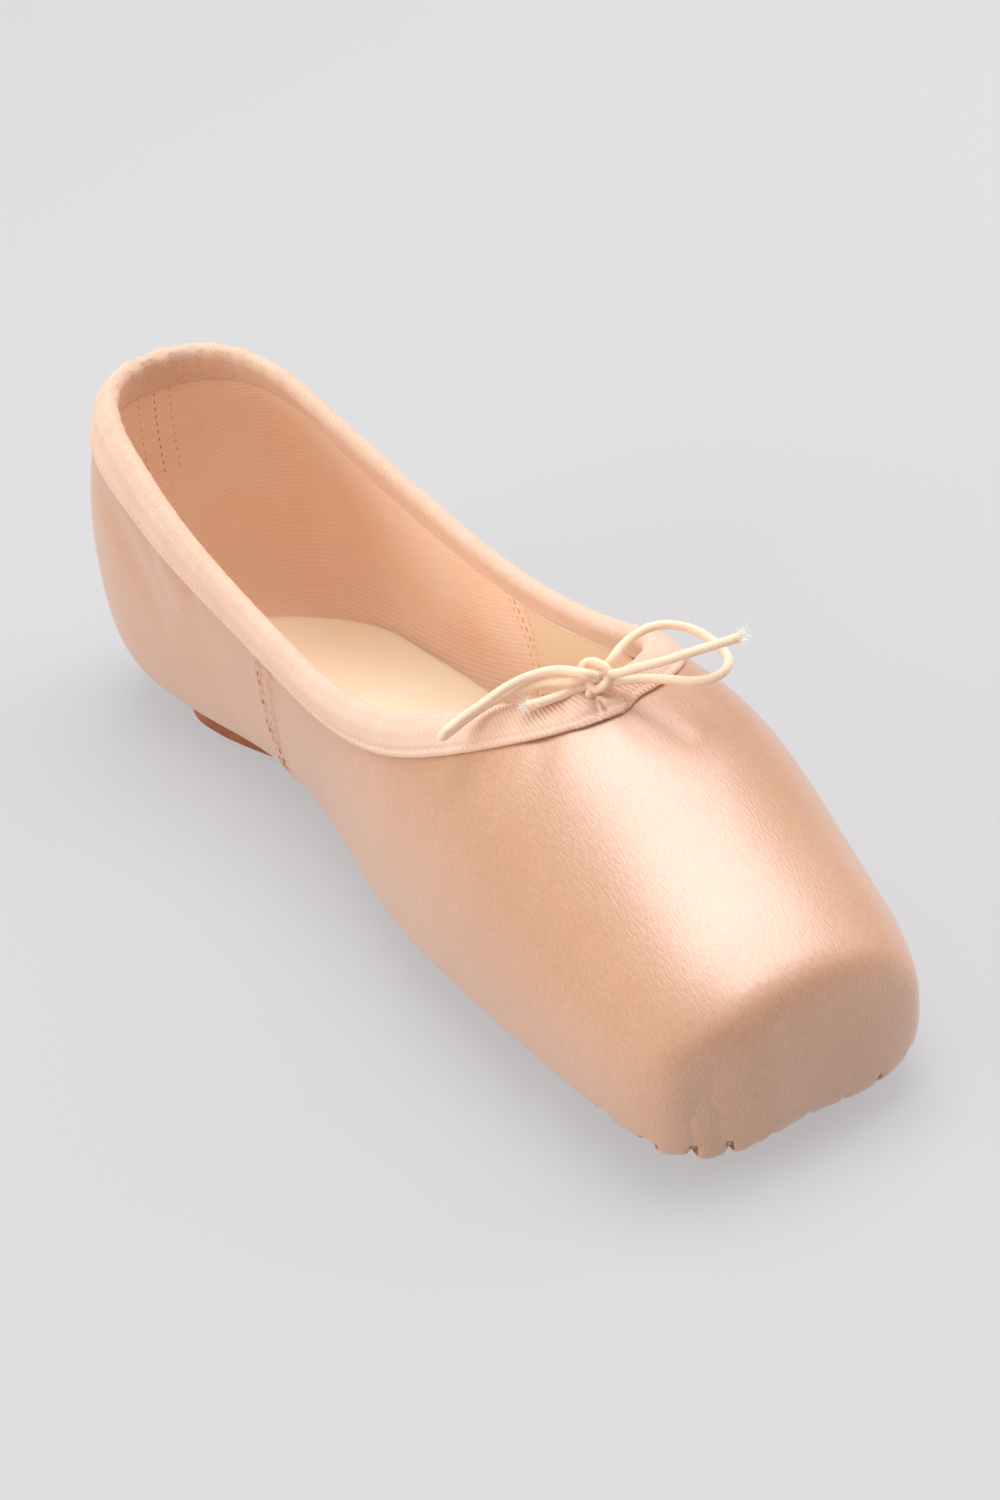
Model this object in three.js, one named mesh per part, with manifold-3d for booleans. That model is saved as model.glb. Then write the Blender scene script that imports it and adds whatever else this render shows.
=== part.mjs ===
// A pointe shoe: a satin upper with a stiffened box, its drawstring casing, a short leather outsole,
// the insole board, a cloth label and the drawstring's bow.
// Millimetres. +X runs from heel to toe, +Y to the wearer's left, +Z up.
// The origin is on the floor, under the middle of the shoe.
import * as THREE from "three";
import { mergeVertices } from "three/addons/utils/BufferGeometryUtils.js";
import Module from "manifold-3d";

const wasm = await Module();
wasm.setup();

// The last
const LENGTH = 235;
const BALL_WIDTH = 68;
const INSTEP_HEIGHT = 56;
const HEEL_CAP = 35;
const TOE_CAP = 26;
const HEEL_ROUNDNESS = 2.25;
const PLATFORM_SQUARENESS = 4.5;

// The collar
const HEEL_HEIGHT = 69;
const SIDE_HEIGHT = 40.4;
const VAMP_LENGTH = 65;
const THROAT_RISE = 72;
const THROAT_ROUNDNESS = 2.35;

// Thicknesses
const WALL = 1.5;
const BOX_WALL = 2.4;
const TAPE = 0.8;
const CORD = 1.6;
const SOLE = 2.6;
const INSOLE = 2.2;
const LABEL = 0.5;
const GAP = 0.3;

// The sole and the turned-in edge
const SOLE_HEEL_SETBACK = 19;
const SOLE_TOE_SETBACK = 40;
const SOLE_WIDTH = 52;
const HEM_WIDTH = 9;

// The insole board: its distance in from the heel, how far it runs on past the throat, and its shares of
// the last's width at its two ends
const INSOLE_SETBACK = 20;
const INSOLE_REACH = 24;
const INSOLE_BACK_SHARE = 0.82;
const INSOLE_FRONT_SHARE = 0.64;

// The casing: its width outside and inside, and how much more of both at the heel
const CASING_OUTSIDE = 5.8;
const CASING_INSIDE = 4.2;
const CASING_HEEL_EXTRA = 3.8;

// The label: where it starts, its length and its height
const LABEL_BACK = -15;
const LABEL_LENGTH = 36;
const LABEL_HEIGHT = 16;
const LABEL_STEPS = 5;

// The bow: the knot's size, its place forward and to the right of the throat's middle
const KNOT = 4.8;
const KNOT_FORWARD = 0.7;
const KNOT_ASIDE = 2.2;
const KNOT_FLATNESS = 0.8;
const CORD_STEP = 2;

// Fineness of the meshes
const AROUND = 80;
const DOWN = 18;
const PLATE_STATIONS = 22;
const PLATE_LANES = 6;
const CORD_SIDES = 8;

// Sections of the last, by their place along the length. width is a share of BALL_WIDTH, crown and girth
// (the height of the widest point) of INSTEP_HEIGHT, base (the underside) of SOLE. roof and keel are the
// roundness above and below the widest point.
const SECTIONS = [
  { at: 0.00, width: 0.850, crown: 1.60, girth: 0.490, base: 1.60, roof: 2.10, keel: 2.5 },
  { at: 0.12, width: 0.830, crown: 1.39, girth: 0.450, base: 1.00, roof: 2.05, keel: 3.3 },
  { at: 0.20, width: 0.800, crown: 1.34, girth: 0.430, base: 1.00, roof: 2.05, keel: 3.5 },
  { at: 0.30, width: 0.770, crown: 1.28, girth: 0.400, base: 1.70, roof: 2.10, keel: 3.4 },
  { at: 0.45, width: 0.810, crown: 1.15, girth: 0.350, base: 2.15, roof: 2.00, keel: 3.3 },
  { at: 0.60, width: 0.950, crown: 1.07, girth: 0.300, base: 1.00, roof: 1.90, keel: 3.7 },
  { at: 0.74, width: 1.000, crown: 0.97, girth: 0.295, base: 1.00, roof: 2.25, keel: 3.8 },
  { at: 0.86, width: 0.910, crown: 0.79, girth: 0.295, base: 0.95, roof: 2.20, keel: 3.8 },
  { at: 1.00, width: 0.735, crown: 0.59, girth: 0.290, base: 0.80, roof: 2.40, keel: 3.6 },
];

// How far a section moves sideways (bow) and its top moves further (lean), in shares of BALL_WIDTH.
const SLANT = [
  { at: 0.00, bow: -0.116, lean: 0.000 },
  { at: 0.12, bow: -0.076, lean: -0.020 },
  { at: 0.20, bow: -0.056, lean: -0.020 },
  { at: 0.30, bow: -0.026, lean: -0.020 },
  { at: 0.45, bow: -0.011, lean: 0.000 },
  { at: 0.60, bow: -0.011, lean: 0.030 },
  { at: 0.74, bow: -0.001, lean: 0.040 },
  { at: 0.86, bow: -0.031, lean: 0.025 },
  { at: 1.00, bow: -0.071, lean: 0.000 },
];

// The collar's edge seen from the side, behind the throat: high is a share from SIDE_HEIGHT to HEEL_HEIGHT.
const COLLAR = [
  { at: 0.00, high: 1.00 },
  { at: 0.07, high: 0.95 },
  { at: 0.20, high: 0.53 },
  { at: 0.34, high: 0.14 },
  { at: 0.50, high: 0.00 },
  { at: 1.00, high: 0.00 },
];

// The outsole's outline from its back end to its front end: half is a share of half SOLE_WIDTH.
const OUTLINE = [
  { at: 0.00, half: 0.80 },
  { at: 0.15, half: 0.78 },
  { at: 0.30, half: 0.66 },
  { at: 0.48, half: 0.62 },
  { at: 0.80, half: 1.00 },
  { at: 1.00, half: 0.96 },
];

// The bow's cords, each a line of places from the knot's middle: forward, left and up.
const BOW = {
  drawstring_loop_left: [
    [0.9, 2.4, 2.6], [0.3, 4.5, 3.6], [0.0, 7.8, 4.6], [0.9, 11.0, 5.2], [2.6, 13.9, 4.8],
    [4.8, 16.3, 3.8], [7.7, 17.8, 2.6], [10.7, 18.5, 1.4], [13.2, 17.7, 0.6], [14.4, 15.0, 0.1],
    [12.9, 11.5, -0.1], [9.2, 8.7, -0.3], [5.4, 5.7, -0.5], [3.4, 3.0, -0.6], [2.6, 1.8, -0.6],
  ],
  drawstring_loop_right: [
    [2.2, -3.1, 2.6], [0.0, -4.4, 2.7], [-3.0, -5.9, 2.4], [-5.6, -8.8, 1.7], [-7.0, -13.1, 0.7],
    [-7.4, -17.9, -0.8], [-8.1, -22.1, -2.4], [-7.9, -25.1, -3.4], [-9.7, -23.9, -5.0],
    [-10.2, -20.1, -4.2], [-9.7, -16.1, -2.8], [-8.4, -12.8, -1.6], [-6.6, -10.0, -0.7],
    [-4.1, -7.0, 0.1], [-1.3, -5.0, 0.7], [0.0, -3.8, 0.9],
  ],
  drawstring_end_left: [
    [3.4, 1.6, 1.3], [6.1, 3.5, 2.5], [9.9, 7.2, 4.0], [12.8, 12.0, 5.2], [15.0, 16.3, 6.0],
    [15.7, 18.2, 6.2],
  ],
  drawstring_end_right: [
    [-0.2, -2.6, -1.0], [-0.7, -4.3, -1.1], [-1.2, -7.1, -1.3], [-2.4, -10.4, -1.6],
    [-3.2, -11.7, -1.8],
  ],
};

// A natural cubic through one column of a table.
function spline(rows, column) {
  const n = rows.length;
  const step = rows.slice(1).map((row, i) => row.at - rows[i].at);
  const slope = rows.slice(1).map((row, i) => (row[column] - rows[i][column]) / step[i]);
  const bend = new Array(n).fill(0);
  const carry = new Array(n).fill(0);
  for (let i = 1; i < n - 1; i += 1) {
    const pivot = 2 * (step[i - 1] + step[i]) - step[i - 1] * carry[i - 1];
    carry[i] = step[i] / pivot;
    bend[i] = (6 * (slope[i] - slope[i - 1]) - step[i - 1] * bend[i - 1]) / pivot;
  }
  for (let i = n - 2; i > 0; i -= 1) {
    bend[i] -= carry[i] * bend[i + 1];
  }
  return (at) => {
    const place = Math.min(Math.max(at, rows[0].at), rows[n - 1].at);
    const after = rows.findIndex((row) => row.at > place);
    const i = after < 0 ? n - 2 : after - 1;
    const t = place - rows[i].at;
    const first = slope[i] - step[i] * (2 * bend[i] + bend[i + 1]) / 6;
    return rows[i][column] + t * (first + t * (bend[i] / 2 + t * (bend[i + 1] - bend[i]) / (6 * step[i])));
  };
}

const columns = {};
for (const table of [SECTIONS, SLANT]) {
  for (const name of Object.keys(table[0])) {
    columns[name] = spline(table, name);
  }
}
const collarShare = spline(COLLAR, "high");
const outlineShare = spline(OUTLINE, "half");

// The section's sizes in millimetres at x.
function sectionAt(x) {
  const at = x / LENGTH + 0.5;
  return {
    half: columns.width(at) * BALL_WIDTH / 2,
    crown: columns.crown(at) * INSTEP_HEIGHT,
    girth: columns.girth(at) * INSTEP_HEIGHT,
    base: columns.base(at) * SOLE,
    roof: columns.roof(at),
    keel: columns.keel(at),
  };
}

// How far the point lies out of the last: 1 is on its surface.
function field(p) {
  const s = sectionAt(p.x);
  const above = p.z >= s.girth;
  const power = above ? s.roof : s.keel;
  const rise = above ? (p.z - s.girth) / (s.crown - s.girth) : (s.girth - p.z) / (s.girth - s.base);
  const across = Math.pow(Math.pow(Math.abs(p.y) / s.half, power) + Math.pow(rise, power), 1 / power);
  const front = p.x > 0;
  const cap = front ? (p.x - LENGTH / 2) / TOE_CAP + 1 : 1 - (p.x + LENGTH / 2) / HEEL_CAP;
  const squareness = front ? PLATFORM_SQUARENESS : HEEL_ROUNDNESS;
  return Math.pow(Math.pow(across, squareness) + Math.pow(Math.max(0, cap), squareness), 1 / squareness);
}

function gradient(p) {
  const h = 0.05;
  const slope = new THREE.Vector3();
  for (const axis of ["x", "y", "z"]) {
    const more = p.clone();
    const less = p.clone();
    more[axis] += h;
    less[axis] -= h;
    slope[axis] = (field(more) - field(less)) / (2 * h);
  }
  return slope;
}

function normalAt(p) {
  return gradient(p).normalize();
}

// The point brought back to the last's surface.
function onto(p) {
  const q = p.clone();
  for (let i = 0; i < 4; i += 1) {
    const slope = gradient(q);
    q.addScaledVector(slope, (1 - field(q)) / slope.lengthSq());
  }
  return q;
}

// The throat: the collar's front end.
const THROAT = LENGTH / 2 - VAMP_LENGTH;

// The sole's two ends and the length over which they round off.
const SOLE_BACK = -LENGTH / 2 + SOLE_HEEL_SETBACK;
const SOLE_FRONT = LENGTH / 2 - SOLE_TOE_SETBACK;
const END_ROUND = 22;

// The spine inside the last, from which the upper's mesh lines are shot outwards, and the millimetres a
// radian takes in their flat layout.
const SPINE_BACK = SOLE_BACK + HEM_WIDTH + END_ROUND;
const SPINE_FRONT = SOLE_FRONT - HEM_WIDTH - END_ROUND;
const SPREAD = 30;
const LINE_SAMPLES = 90;

// Millimetres of line a radian of turning counts for, when points are spread along a line or a rim.
const LINE_TURN = 30;
const RIM_TURN = 50;

// A place in the flat layout, taken to the last's surface.
function unfold(x, y) {
  const foot = Math.min(Math.max(x, SPINE_BACK), SPINE_FRONT);
  const reach = Math.max(Math.hypot(x - foot, y), 1e-9);
  const polar = Math.PI / 2 - reach / SPREAD;
  const level = Math.cos(polar) / reach;
  const ray = new THREE.Vector3((x - foot) * level, y * level, Math.sin(polar));
  const from = new THREE.Vector3(foot, 0, sectionAt(foot).girth);
  let inside = 0;
  let outside = LENGTH;
  for (let i = 0; i < 32; i += 1) {
    const middle = (inside + outside) / 2;
    if (field(from.clone().addScaledVector(ray, middle)) < 1) {
      inside = middle;
    } else {
      outside = middle;
    }
  }
  return from.addScaledVector(ray, inside);
}

// A point of the surface, taken to the flat layout.
function fold(p) {
  const foot = Math.min(Math.max(p.x, SPINE_BACK), SPINE_FRONT);
  const out = Math.max(Math.hypot(p.x - foot, p.y), 1e-9);
  const reach = SPREAD * (Math.PI / 2 - Math.atan2(p.z - sectionAt(foot).girth, out));
  return [foot + reach * (p.x - foot) / out, reach * p.y / out];
}

// A line of points resampled evenly, closer where it turns by the weight given.
function evenly(line, count, weight) {
  const run = [0];
  for (let i = 1; i < line.length; i += 1) {
    const step = line[i].clone().sub(line[i - 1]);
    const next = line[Math.min(i + 1, line.length - 1)].clone().sub(line[i]);
    const turn = next.lengthSq() > 0 && step.lengthSq() > 0 ? step.angleTo(next) : 0;
    run.push(run[i - 1] + step.length() + weight * turn);
  }
  const total = run[run.length - 1];
  const result = [];
  let i = 0;
  for (let k = 0; k <= count; k += 1) {
    const goal = total * k / count;
    while (i < line.length - 2 && run[i + 1] < goal) {
      i += 1;
    }
    const share = (goal - run[i]) / Math.max(run[i + 1] - run[i], 1e-9);
    result.push(line[i].clone().lerp(line[i + 1], Math.min(share, 1)));
  }
  return result;
}

// How much of the section's full size is left at x under the rounded ends.
function capAt(x) {
  const toe = Math.min(Math.max(0, (x - LENGTH / 2) / TOE_CAP + 1), 1);
  const heel = Math.min(Math.max(0, 1 - (x + LENGTH / 2) / HEEL_CAP), 1);
  const toeLeft = Math.pow(1 - Math.pow(toe, PLATFORM_SQUARENESS), 1 / PLATFORM_SQUARENESS);
  return toeLeft * Math.pow(1 - Math.pow(heel, HEEL_ROUNDNESS), 1 / HEEL_ROUNDNESS);
}

// Half the last's width at x and height z above the girth.
function halfAt(x, z) {
  const s = sectionAt(x);
  const rise = (z - s.girth) / (s.crown - s.girth);
  const left = Math.pow(capAt(x), s.roof) - Math.pow(rise, s.roof);
  return s.half * Math.pow(Math.max(left, 0), 1 / s.roof);
}

// Height of the last's top at x, y.
function topAt(x, y) {
  const s = sectionAt(x);
  const left = Math.pow(capAt(x), s.roof) - Math.pow(Math.abs(y) / s.half, s.roof);
  return s.girth + (s.crown - s.girth) * Math.pow(Math.max(left, 0), 1 / s.roof);
}

// Height of the last's underside at x, y.
function underAt(x, y) {
  const s = sectionAt(x);
  const left = Math.pow(capAt(x), s.keel) - Math.pow(Math.abs(y) / s.half, s.keel);
  return s.girth - (s.girth - s.base) * Math.pow(Math.max(left, 0), 1 / s.keel);
}

// The insole board's outline.
const INSOLE_BACK = -LENGTH / 2 + INSOLE_SETBACK;
const INSOLE_FRONT = THROAT + INSOLE_REACH;

function insoleHalf(x) {
  const back = Math.min(Math.max((x - INSOLE_BACK) / HEEL_CAP, 0), 1);
  const front = Math.min(Math.max((INSOLE_FRONT - x) / END_ROUND, 0), 1);
  const forward = (x - INSOLE_BACK) / (INSOLE_FRONT - INSOLE_BACK);
  const share = INSOLE_BACK_SHARE + (INSOLE_FRONT_SHARE - INSOLE_BACK_SHARE) * forward;
  return sectionAt(x).half * share * Math.sqrt((1 - (1 - back) ** 2) * (1 - (1 - front) ** 2));
}

// The collar's edge: a height along the sides and the heel, a rounded arc in plan at the throat.
function collarHeight(x) {
  return SIDE_HEIGHT + (HEEL_HEIGHT - SIDE_HEIGHT) * collarShare(x / LENGTH + 0.5);
}

function collarPoint(x) {
  const along = Math.max(0, (x - THROAT) / THROAT_RISE + 1);
  const side = halfAt(x, collarHeight(x));
  if (along === 0) {
    return new THREE.Vector3(x, side, collarHeight(x));
  }
  const y = side * Math.pow(Math.max(0, 1 - Math.pow(along, THROAT_ROUNDNESS)), 1 / THROAT_ROUNDNESS);
  return new THREE.Vector3(x, y, topAt(x, y));
}

// The collar's back end, where the two sides meet.
function heelEnd() {
  let out = -LENGTH / 2;
  let within = -LENGTH / 2 + HEEL_CAP;
  for (let i = 0; i < 40; i += 1) {
    const middle = (out + within) / 2;
    if (halfAt(middle, collarHeight(middle)) > 0) {
      within = middle;
    } else {
      out = middle;
    }
  }
  return within;
}

// Half a rim from its front to its back on the +Y side, closer spaced samples at both ends.
function halfRim(front, back, pointOf) {
  const line = [];
  for (let i = 0; i <= 600; i += 1) {
    const x = front - (front - back) * (1 - Math.cos(Math.PI * i / 600)) / 2;
    line.push(pointOf(x));
  }
  line[0].y = 0;
  line[600].y = 0;
  return evenly(line, AROUND / 2, RIM_TURN);
}

function mirrored(half) {
  const back = half.slice(1, -1).reverse().map((p) => new THREE.Vector3(p.x, -p.y, p.z));
  return [...half, ...back];
}

// Half the outsole's width at x, with its edge moved in.
function soleHalf(x, inset) {
  const full = outlineShare((x - SOLE_BACK) / (SOLE_FRONT - SOLE_BACK)) * SOLE_WIDTH / 2 - inset;
  const back = Math.min(Math.max((x - SOLE_BACK - inset) / END_ROUND, 0), 1);
  const front = Math.min(Math.max((SOLE_FRONT - inset - x) / END_ROUND, 0), 1);
  return full * Math.sqrt((1 - (1 - back) ** 2) * (1 - (1 - front) ** 2));
}

function hemPoint(x) {
  const y = soleHalf(x, HEM_WIDTH);
  return new THREE.Vector3(x, y, underAt(x, y));
}

const collar = mirrored(halfRim(THROAT, heelEnd(), collarPoint));
const hem = mirrored(halfRim(SOLE_FRONT - HEM_WIDTH, SOLE_BACK + HEM_WIDTH, hemPoint));

// The wall: thicker in the stiffened box.
function wallAt(x) {
  return WALL + (BOX_WALL - WALL) * THREE.MathUtils.smoothstep(x, THROAT, LENGTH / 2 - TOE_CAP);
}

// The shoe's own slant, given to every finished piece: each section moves sideways, its top further.
function slant(geometry) {
  const place = geometry.attributes.position;
  for (let i = 0; i < place.count; i += 1) {
    const at = place.getX(i) / LENGTH + 0.5;
    const s = sectionAt(place.getX(i));
    const rise = Math.max(0, (place.getZ(i) - s.girth) / (s.crown - s.girth));
    const move = BALL_WIDTH * (columns.bow(at) + columns.lean(at) * rise * rise);
    place.setY(i, place.getY(i) + move);
  }
}

// A solid skinned over rings of points, the rings joined end to end when closed. Rings that shrink to a
// line at the two ends close the solid there.
function skin(rings, closed) {
  const across = rings[0].length;
  const points = [];
  const index = [];
  for (const ring of rings) {
    for (const p of ring) {
      points.push(p.x, p.y, p.z);
    }
  }
  const last = closed ? rings.length : rings.length - 1;
  for (let i = 0; i < last; i += 1) {
    const next = (i + 1) % rings.length;
    for (let j = 0; j < across; j += 1) {
      const side = (j + 1) % across;
      const a = i * across + j;
      const b = i * across + side;
      const c = next * across + side;
      const d = next * across + j;
      index.push(a, b, c, a, c, d);
    }
  }
  const geometry = new THREE.BufferGeometry();
  geometry.setAttribute("position", new THREE.Float32BufferAttribute(points, 3));
  geometry.setIndex(index);
  return welded(geometry);
}

// Merged vertices, and no triangle left that has shrunk to a line.
function welded(geometry) {
  const merged = mergeVertices(geometry, 1e-4);
  const index = [];
  for (let i = 0; i < merged.index.count; i += 3) {
    const [a, b, c] = [0, 1, 2].map((k) => merged.index.getX(i + k));
    if (a !== b && b !== c && c !== a) {
      index.push(a, b, c);
    }
  }
  merged.setIndex(index);
  return merged;
}

function piece(name, geometry, color, roughness) {
  slant(geometry);
  geometry.computeVertexNormals();
  const material = new THREE.MeshStandardMaterial({ color, roughness, metalness: 0 });
  material.name = name;
  const mesh = new THREE.Mesh(geometry, material);
  mesh.name = name;
  return mesh;
}

// The upper: each line runs from the collar out over the last and under it to the turned-in edge, and comes
// back along the inside of the wall.
function upperSolid() {
  const rings = collar.map((top, i) => {
    const [x0, y0] = fold(top);
    const [x1, y1] = fold(hem[i]);
    const line = [top];
    for (let k = 1; k < LINE_SAMPLES; k += 1) {
      const t = k / LINE_SAMPLES;
      line.push(unfold(x0 + (x1 - x0) * t, y0 + (y1 - y0) * t));
    }
    line.push(hem[i]);
    const outer = evenly(line, DOWN, LINE_TURN);
    const inner = outer.map((p) => p.clone().addScaledVector(normalAt(p), -wallAt(p.x)));
    return [...outer, ...inner.reverse()];
  });
  return skin(rings, true);
}

// A place on the collar's edge between its stations.
function rimAt(station) {
  const low = Math.floor(station);
  const from = collar[(low + AROUND) % AROUND];
  return from.clone().lerp(collar[(low + 1 + AROUND) % AROUND], station - low);
}

// The point a way down the upper's face from the collar's edge, and out of it along the face's normal.
function fromEdge(station, down, out) {
  const edge = rimAt(station);
  const along = rimAt(station + 1).sub(rimAt(station - 1));
  const away = along.cross(normalAt(edge)).normalize();
  if (down <= 0) {
    return edge.clone().addScaledVector(away, down).addScaledVector(normalAt(edge), out);
  }
  const half = onto(edge.clone().addScaledVector(away, down / 2));
  const onward = half.clone().sub(edge).setLength(down / 2);
  const place = onto(half.add(onward));
  return place.addScaledVector(normalAt(place), out);
}

// The casing: a folded tape over the collar's edge, outside and inside, rounded where the cord runs.
function bindingRing(station) {
  const middle = -WALL / 2;
  const roll = WALL / 2 + GAP + TAPE;
  const extra = CASING_HEEL_EXTRA * Math.max(0, collarShare(collar[station].x / LENGTH + 0.5));
  const outside = CASING_OUTSIDE + extra;
  const inside = CASING_INSIDE + extra;
  const profile = [
    [-GAP, GAP],
    [-GAP, -WALL - GAP],
    [inside / 2, -WALL - GAP],
    [inside, -WALL - GAP],
    [inside, -WALL - GAP - TAPE],
  ];
  for (let i = 0; i <= 4; i += 1) {
    const angle = Math.PI * i / 4;
    profile.push([-roll * Math.sin(angle), middle - roll * Math.cos(angle)]);
  }
  profile.push(
    [outside / 2, GAP + TAPE],
    [outside, GAP + TAPE],
    [outside, GAP],
    [outside / 2, GAP],
  );
  return profile.map(([down, out]) => fromEdge(station, down, out));
}

function bindingSolid() {
  return skin(collar.map((_, i) => bindingRing(i)), true);
}

// A plate between two heights, its stations from back to front and its lanes across.
function plateSolid(back, front, halfOf, topOf, bottomOf) {
  const rings = [];
  for (let i = 0; i <= PLATE_STATIONS; i += 1) {
    const x = back + (front - back) * (1 - Math.cos(Math.PI * i / PLATE_STATIONS)) / 2;
    const half = i % PLATE_STATIONS === 0 ? 0 : halfOf(x);
    const lanes = [];
    for (let j = 0; j <= PLATE_LANES; j += 1) {
      lanes.push(half * Math.sin(Math.PI * (j / PLATE_LANES - 0.5)));
    }
    const top = lanes.map((y) => new THREE.Vector3(x, y, topOf(x, y)));
    const bottom = lanes.map((y) => new THREE.Vector3(x, y, bottomOf(x, y)));
    rings.push([...bottom, ...top.reverse()]);
  }
  return skin(rings, false);
}

// The outsole: its top follows the upper's underside, its underside lies flat under heel and forefoot.
function outsoleSolid() {
  const top = (x, y) => underAt(x, y) - GAP;
  const bottom = (x) => Math.max(0, sectionAt(x).base - SOLE);
  return plateSolid(SOLE_BACK, SOLE_FRONT, (x) => soleHalf(x, 0), top, bottom);
}

// The insole: a board on the turned-in edge, with a thicker middle filling the opening down to the outsole.
function insoleSolid() {
  const floor = (x, y) => underAt(x, y) + wallAt(x) + 2 * GAP;
  const board = plateSolid(INSOLE_BACK, INSOLE_FRONT, insoleHalf, (x, y) => floor(x, y) + INSOLE, floor);
  const inset = HEM_WIDTH + 2 * GAP;
  const plug = plateSolid(SOLE_BACK + inset, SOLE_FRONT - inset, (x) => soleHalf(x, inset),
    (x, y) => floor(x, y) + INSOLE / 2, (x, y) => underAt(x, y));
  return fromManifold(toManifold(board).add(toManifold(plug)));
}

function toManifold(geometry) {
  const mesh = new wasm.Mesh({
    numProp: 3,
    vertProperties: new Float32Array(geometry.attributes.position.array),
    triVerts: new Uint32Array(geometry.index.array),
  });
  return new wasm.Manifold(mesh);
}

function fromManifold(solid) {
  const mesh = solid.getMesh();
  const geometry = new THREE.BufferGeometry();
  geometry.setAttribute("position", new THREE.BufferAttribute(new Float32Array(mesh.vertProperties), 3));
  geometry.setIndex(new THREE.BufferAttribute(new Uint32Array(mesh.triVerts), 1));
  return geometry;
}

// The label on the lining under the casing, on the wearer's left: square ends, one ring drawn in at each.
function labelSolid() {
  const inner = -WALL - GAP - LABEL;
  const outer = -WALL - GAP;
  const first = stationAt(LABEL_BACK + LABEL_LENGTH);
  const last = stationAt(LABEL_BACK);
  const downs = [0, 0.5, 1].map((share) => CASING_INSIDE + LABEL + LABEL_HEIGHT * share);
  const ring = (station, from, to) => [
    ...downs.map((down) => fromEdge(station, down, from)),
    ...[...downs].reverse().map((down) => fromEdge(station, down, to)),
  ];
  const middle = (inner + outer) / 2;
  const rings = [ring(first, middle, middle)];
  for (let i = 0; i <= LABEL_STEPS; i += 1) {
    rings.push(ring(first + (last - first) * i / LABEL_STEPS, outer, inner));
  }
  rings.push(ring(last, middle, middle));
  return skin(rings, false);
}

// The collar's station at x on the wearer's left.
function stationAt(x) {
  let i = 0;
  while (collar[i + 1].x > x) {
    i += 1;
  }
  return i + (collar[i].x - x) / (collar[i].x - collar[i + 1].x);
}

// A round cord through points given from the knot's middle.
const knotMiddle = fromEdge(0, KNOT_FORWARD, GAP + TAPE + GAP + KNOT * KNOT_FLATNESS / 2);
knotMiddle.y -= KNOT_ASIDE;

function cordSolid(rows) {
  const places = rows.map((row) => knotMiddle.clone().add(new THREE.Vector3(...row)));
  const path = new THREE.CatmullRomCurve3(places);
  const section = new THREE.Shape();
  for (let i = 0; i < CORD_SIDES; i += 1) {
    const angle = 2 * Math.PI * i / CORD_SIDES;
    const corner = [CORD / 2 * Math.cos(angle), CORD / 2 * Math.sin(angle)];
    if (i === 0) {
      section.moveTo(...corner);
    } else {
      section.lineTo(...corner);
    }
  }
  const steps = Math.ceil(path.getLength() / (CORD * CORD_STEP));
  const tube = new THREE.ExtrudeGeometry(section, { steps, extrudePath: path, bevelEnabled: false });
  tube.deleteAttribute("uv");
  tube.deleteAttribute("normal");
  return welded(tube);
}

function knotSolid() {
  const ball = new THREE.SphereGeometry(KNOT / 2, CORD_SIDES + 2, CORD_SIDES - 1);
  ball.deleteAttribute("uv");
  ball.deleteAttribute("normal");
  ball.scale(1, 1, KNOT_FLATNESS);
  ball.translate(knotMiddle.x, knotMiddle.y, knotMiddle.z);
  return welded(ball);
}

const shoe = new THREE.Group();
shoe.add(piece("upper", upperSolid(), 0xf2cdb2, 0.42));
shoe.add(piece("binding", bindingSolid(), 0xf1cbb4, 0.8));
shoe.add(piece("outsole", outsoleSolid(), 0x8a4a2c, 0.75));
shoe.add(piece("insole", insoleSolid(), 0xf3d9b4, 0.7));
shoe.add(piece("label", labelSolid(), 0xf6e6cf, 0.85));
shoe.add(piece("drawstring_knot", knotSolid(), 0xeec4a6, 0.8));
for (const [name, rows] of Object.entries(BOW)) {
  shoe.add(piece(name, cordSolid(rows), 0xeec4a6, 0.8));
}

export default shoe;
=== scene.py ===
"""A pointe shoe in peach satin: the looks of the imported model, in its own frame, in metres.

Shapes are worked out in millimetres in the shoe's own frame: +X runs from heel to toe, +Y to the wearer's
left and +Z up. They are turned into metres when a mesh or a curve is made.
"""
import math

import bmesh
import bpy
import numpy as np
from mathutils import Matrix, Vector


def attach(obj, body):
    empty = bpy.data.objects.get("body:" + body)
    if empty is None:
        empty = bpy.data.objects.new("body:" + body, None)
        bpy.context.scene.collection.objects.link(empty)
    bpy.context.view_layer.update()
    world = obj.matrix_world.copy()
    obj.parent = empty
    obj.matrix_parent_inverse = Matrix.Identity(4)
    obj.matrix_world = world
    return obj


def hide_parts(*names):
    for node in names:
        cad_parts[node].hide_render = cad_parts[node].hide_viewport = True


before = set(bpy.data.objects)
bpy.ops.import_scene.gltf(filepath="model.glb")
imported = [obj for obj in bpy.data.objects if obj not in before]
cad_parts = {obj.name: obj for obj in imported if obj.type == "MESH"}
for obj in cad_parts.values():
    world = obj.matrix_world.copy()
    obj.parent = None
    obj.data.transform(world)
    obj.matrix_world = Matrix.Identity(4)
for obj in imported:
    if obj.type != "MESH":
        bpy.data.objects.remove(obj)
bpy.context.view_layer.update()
MM = 0.001

# The camera: it looks at AIM from these angles, rolled, and frames the one shoe.
AIM = (12.6, 0.0, 25.0)
AZIMUTH = 65.48
ELEVATION = 31.39
ROLL = -10.38
DISTANCE = 524.8
LENS = 68.5

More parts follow.
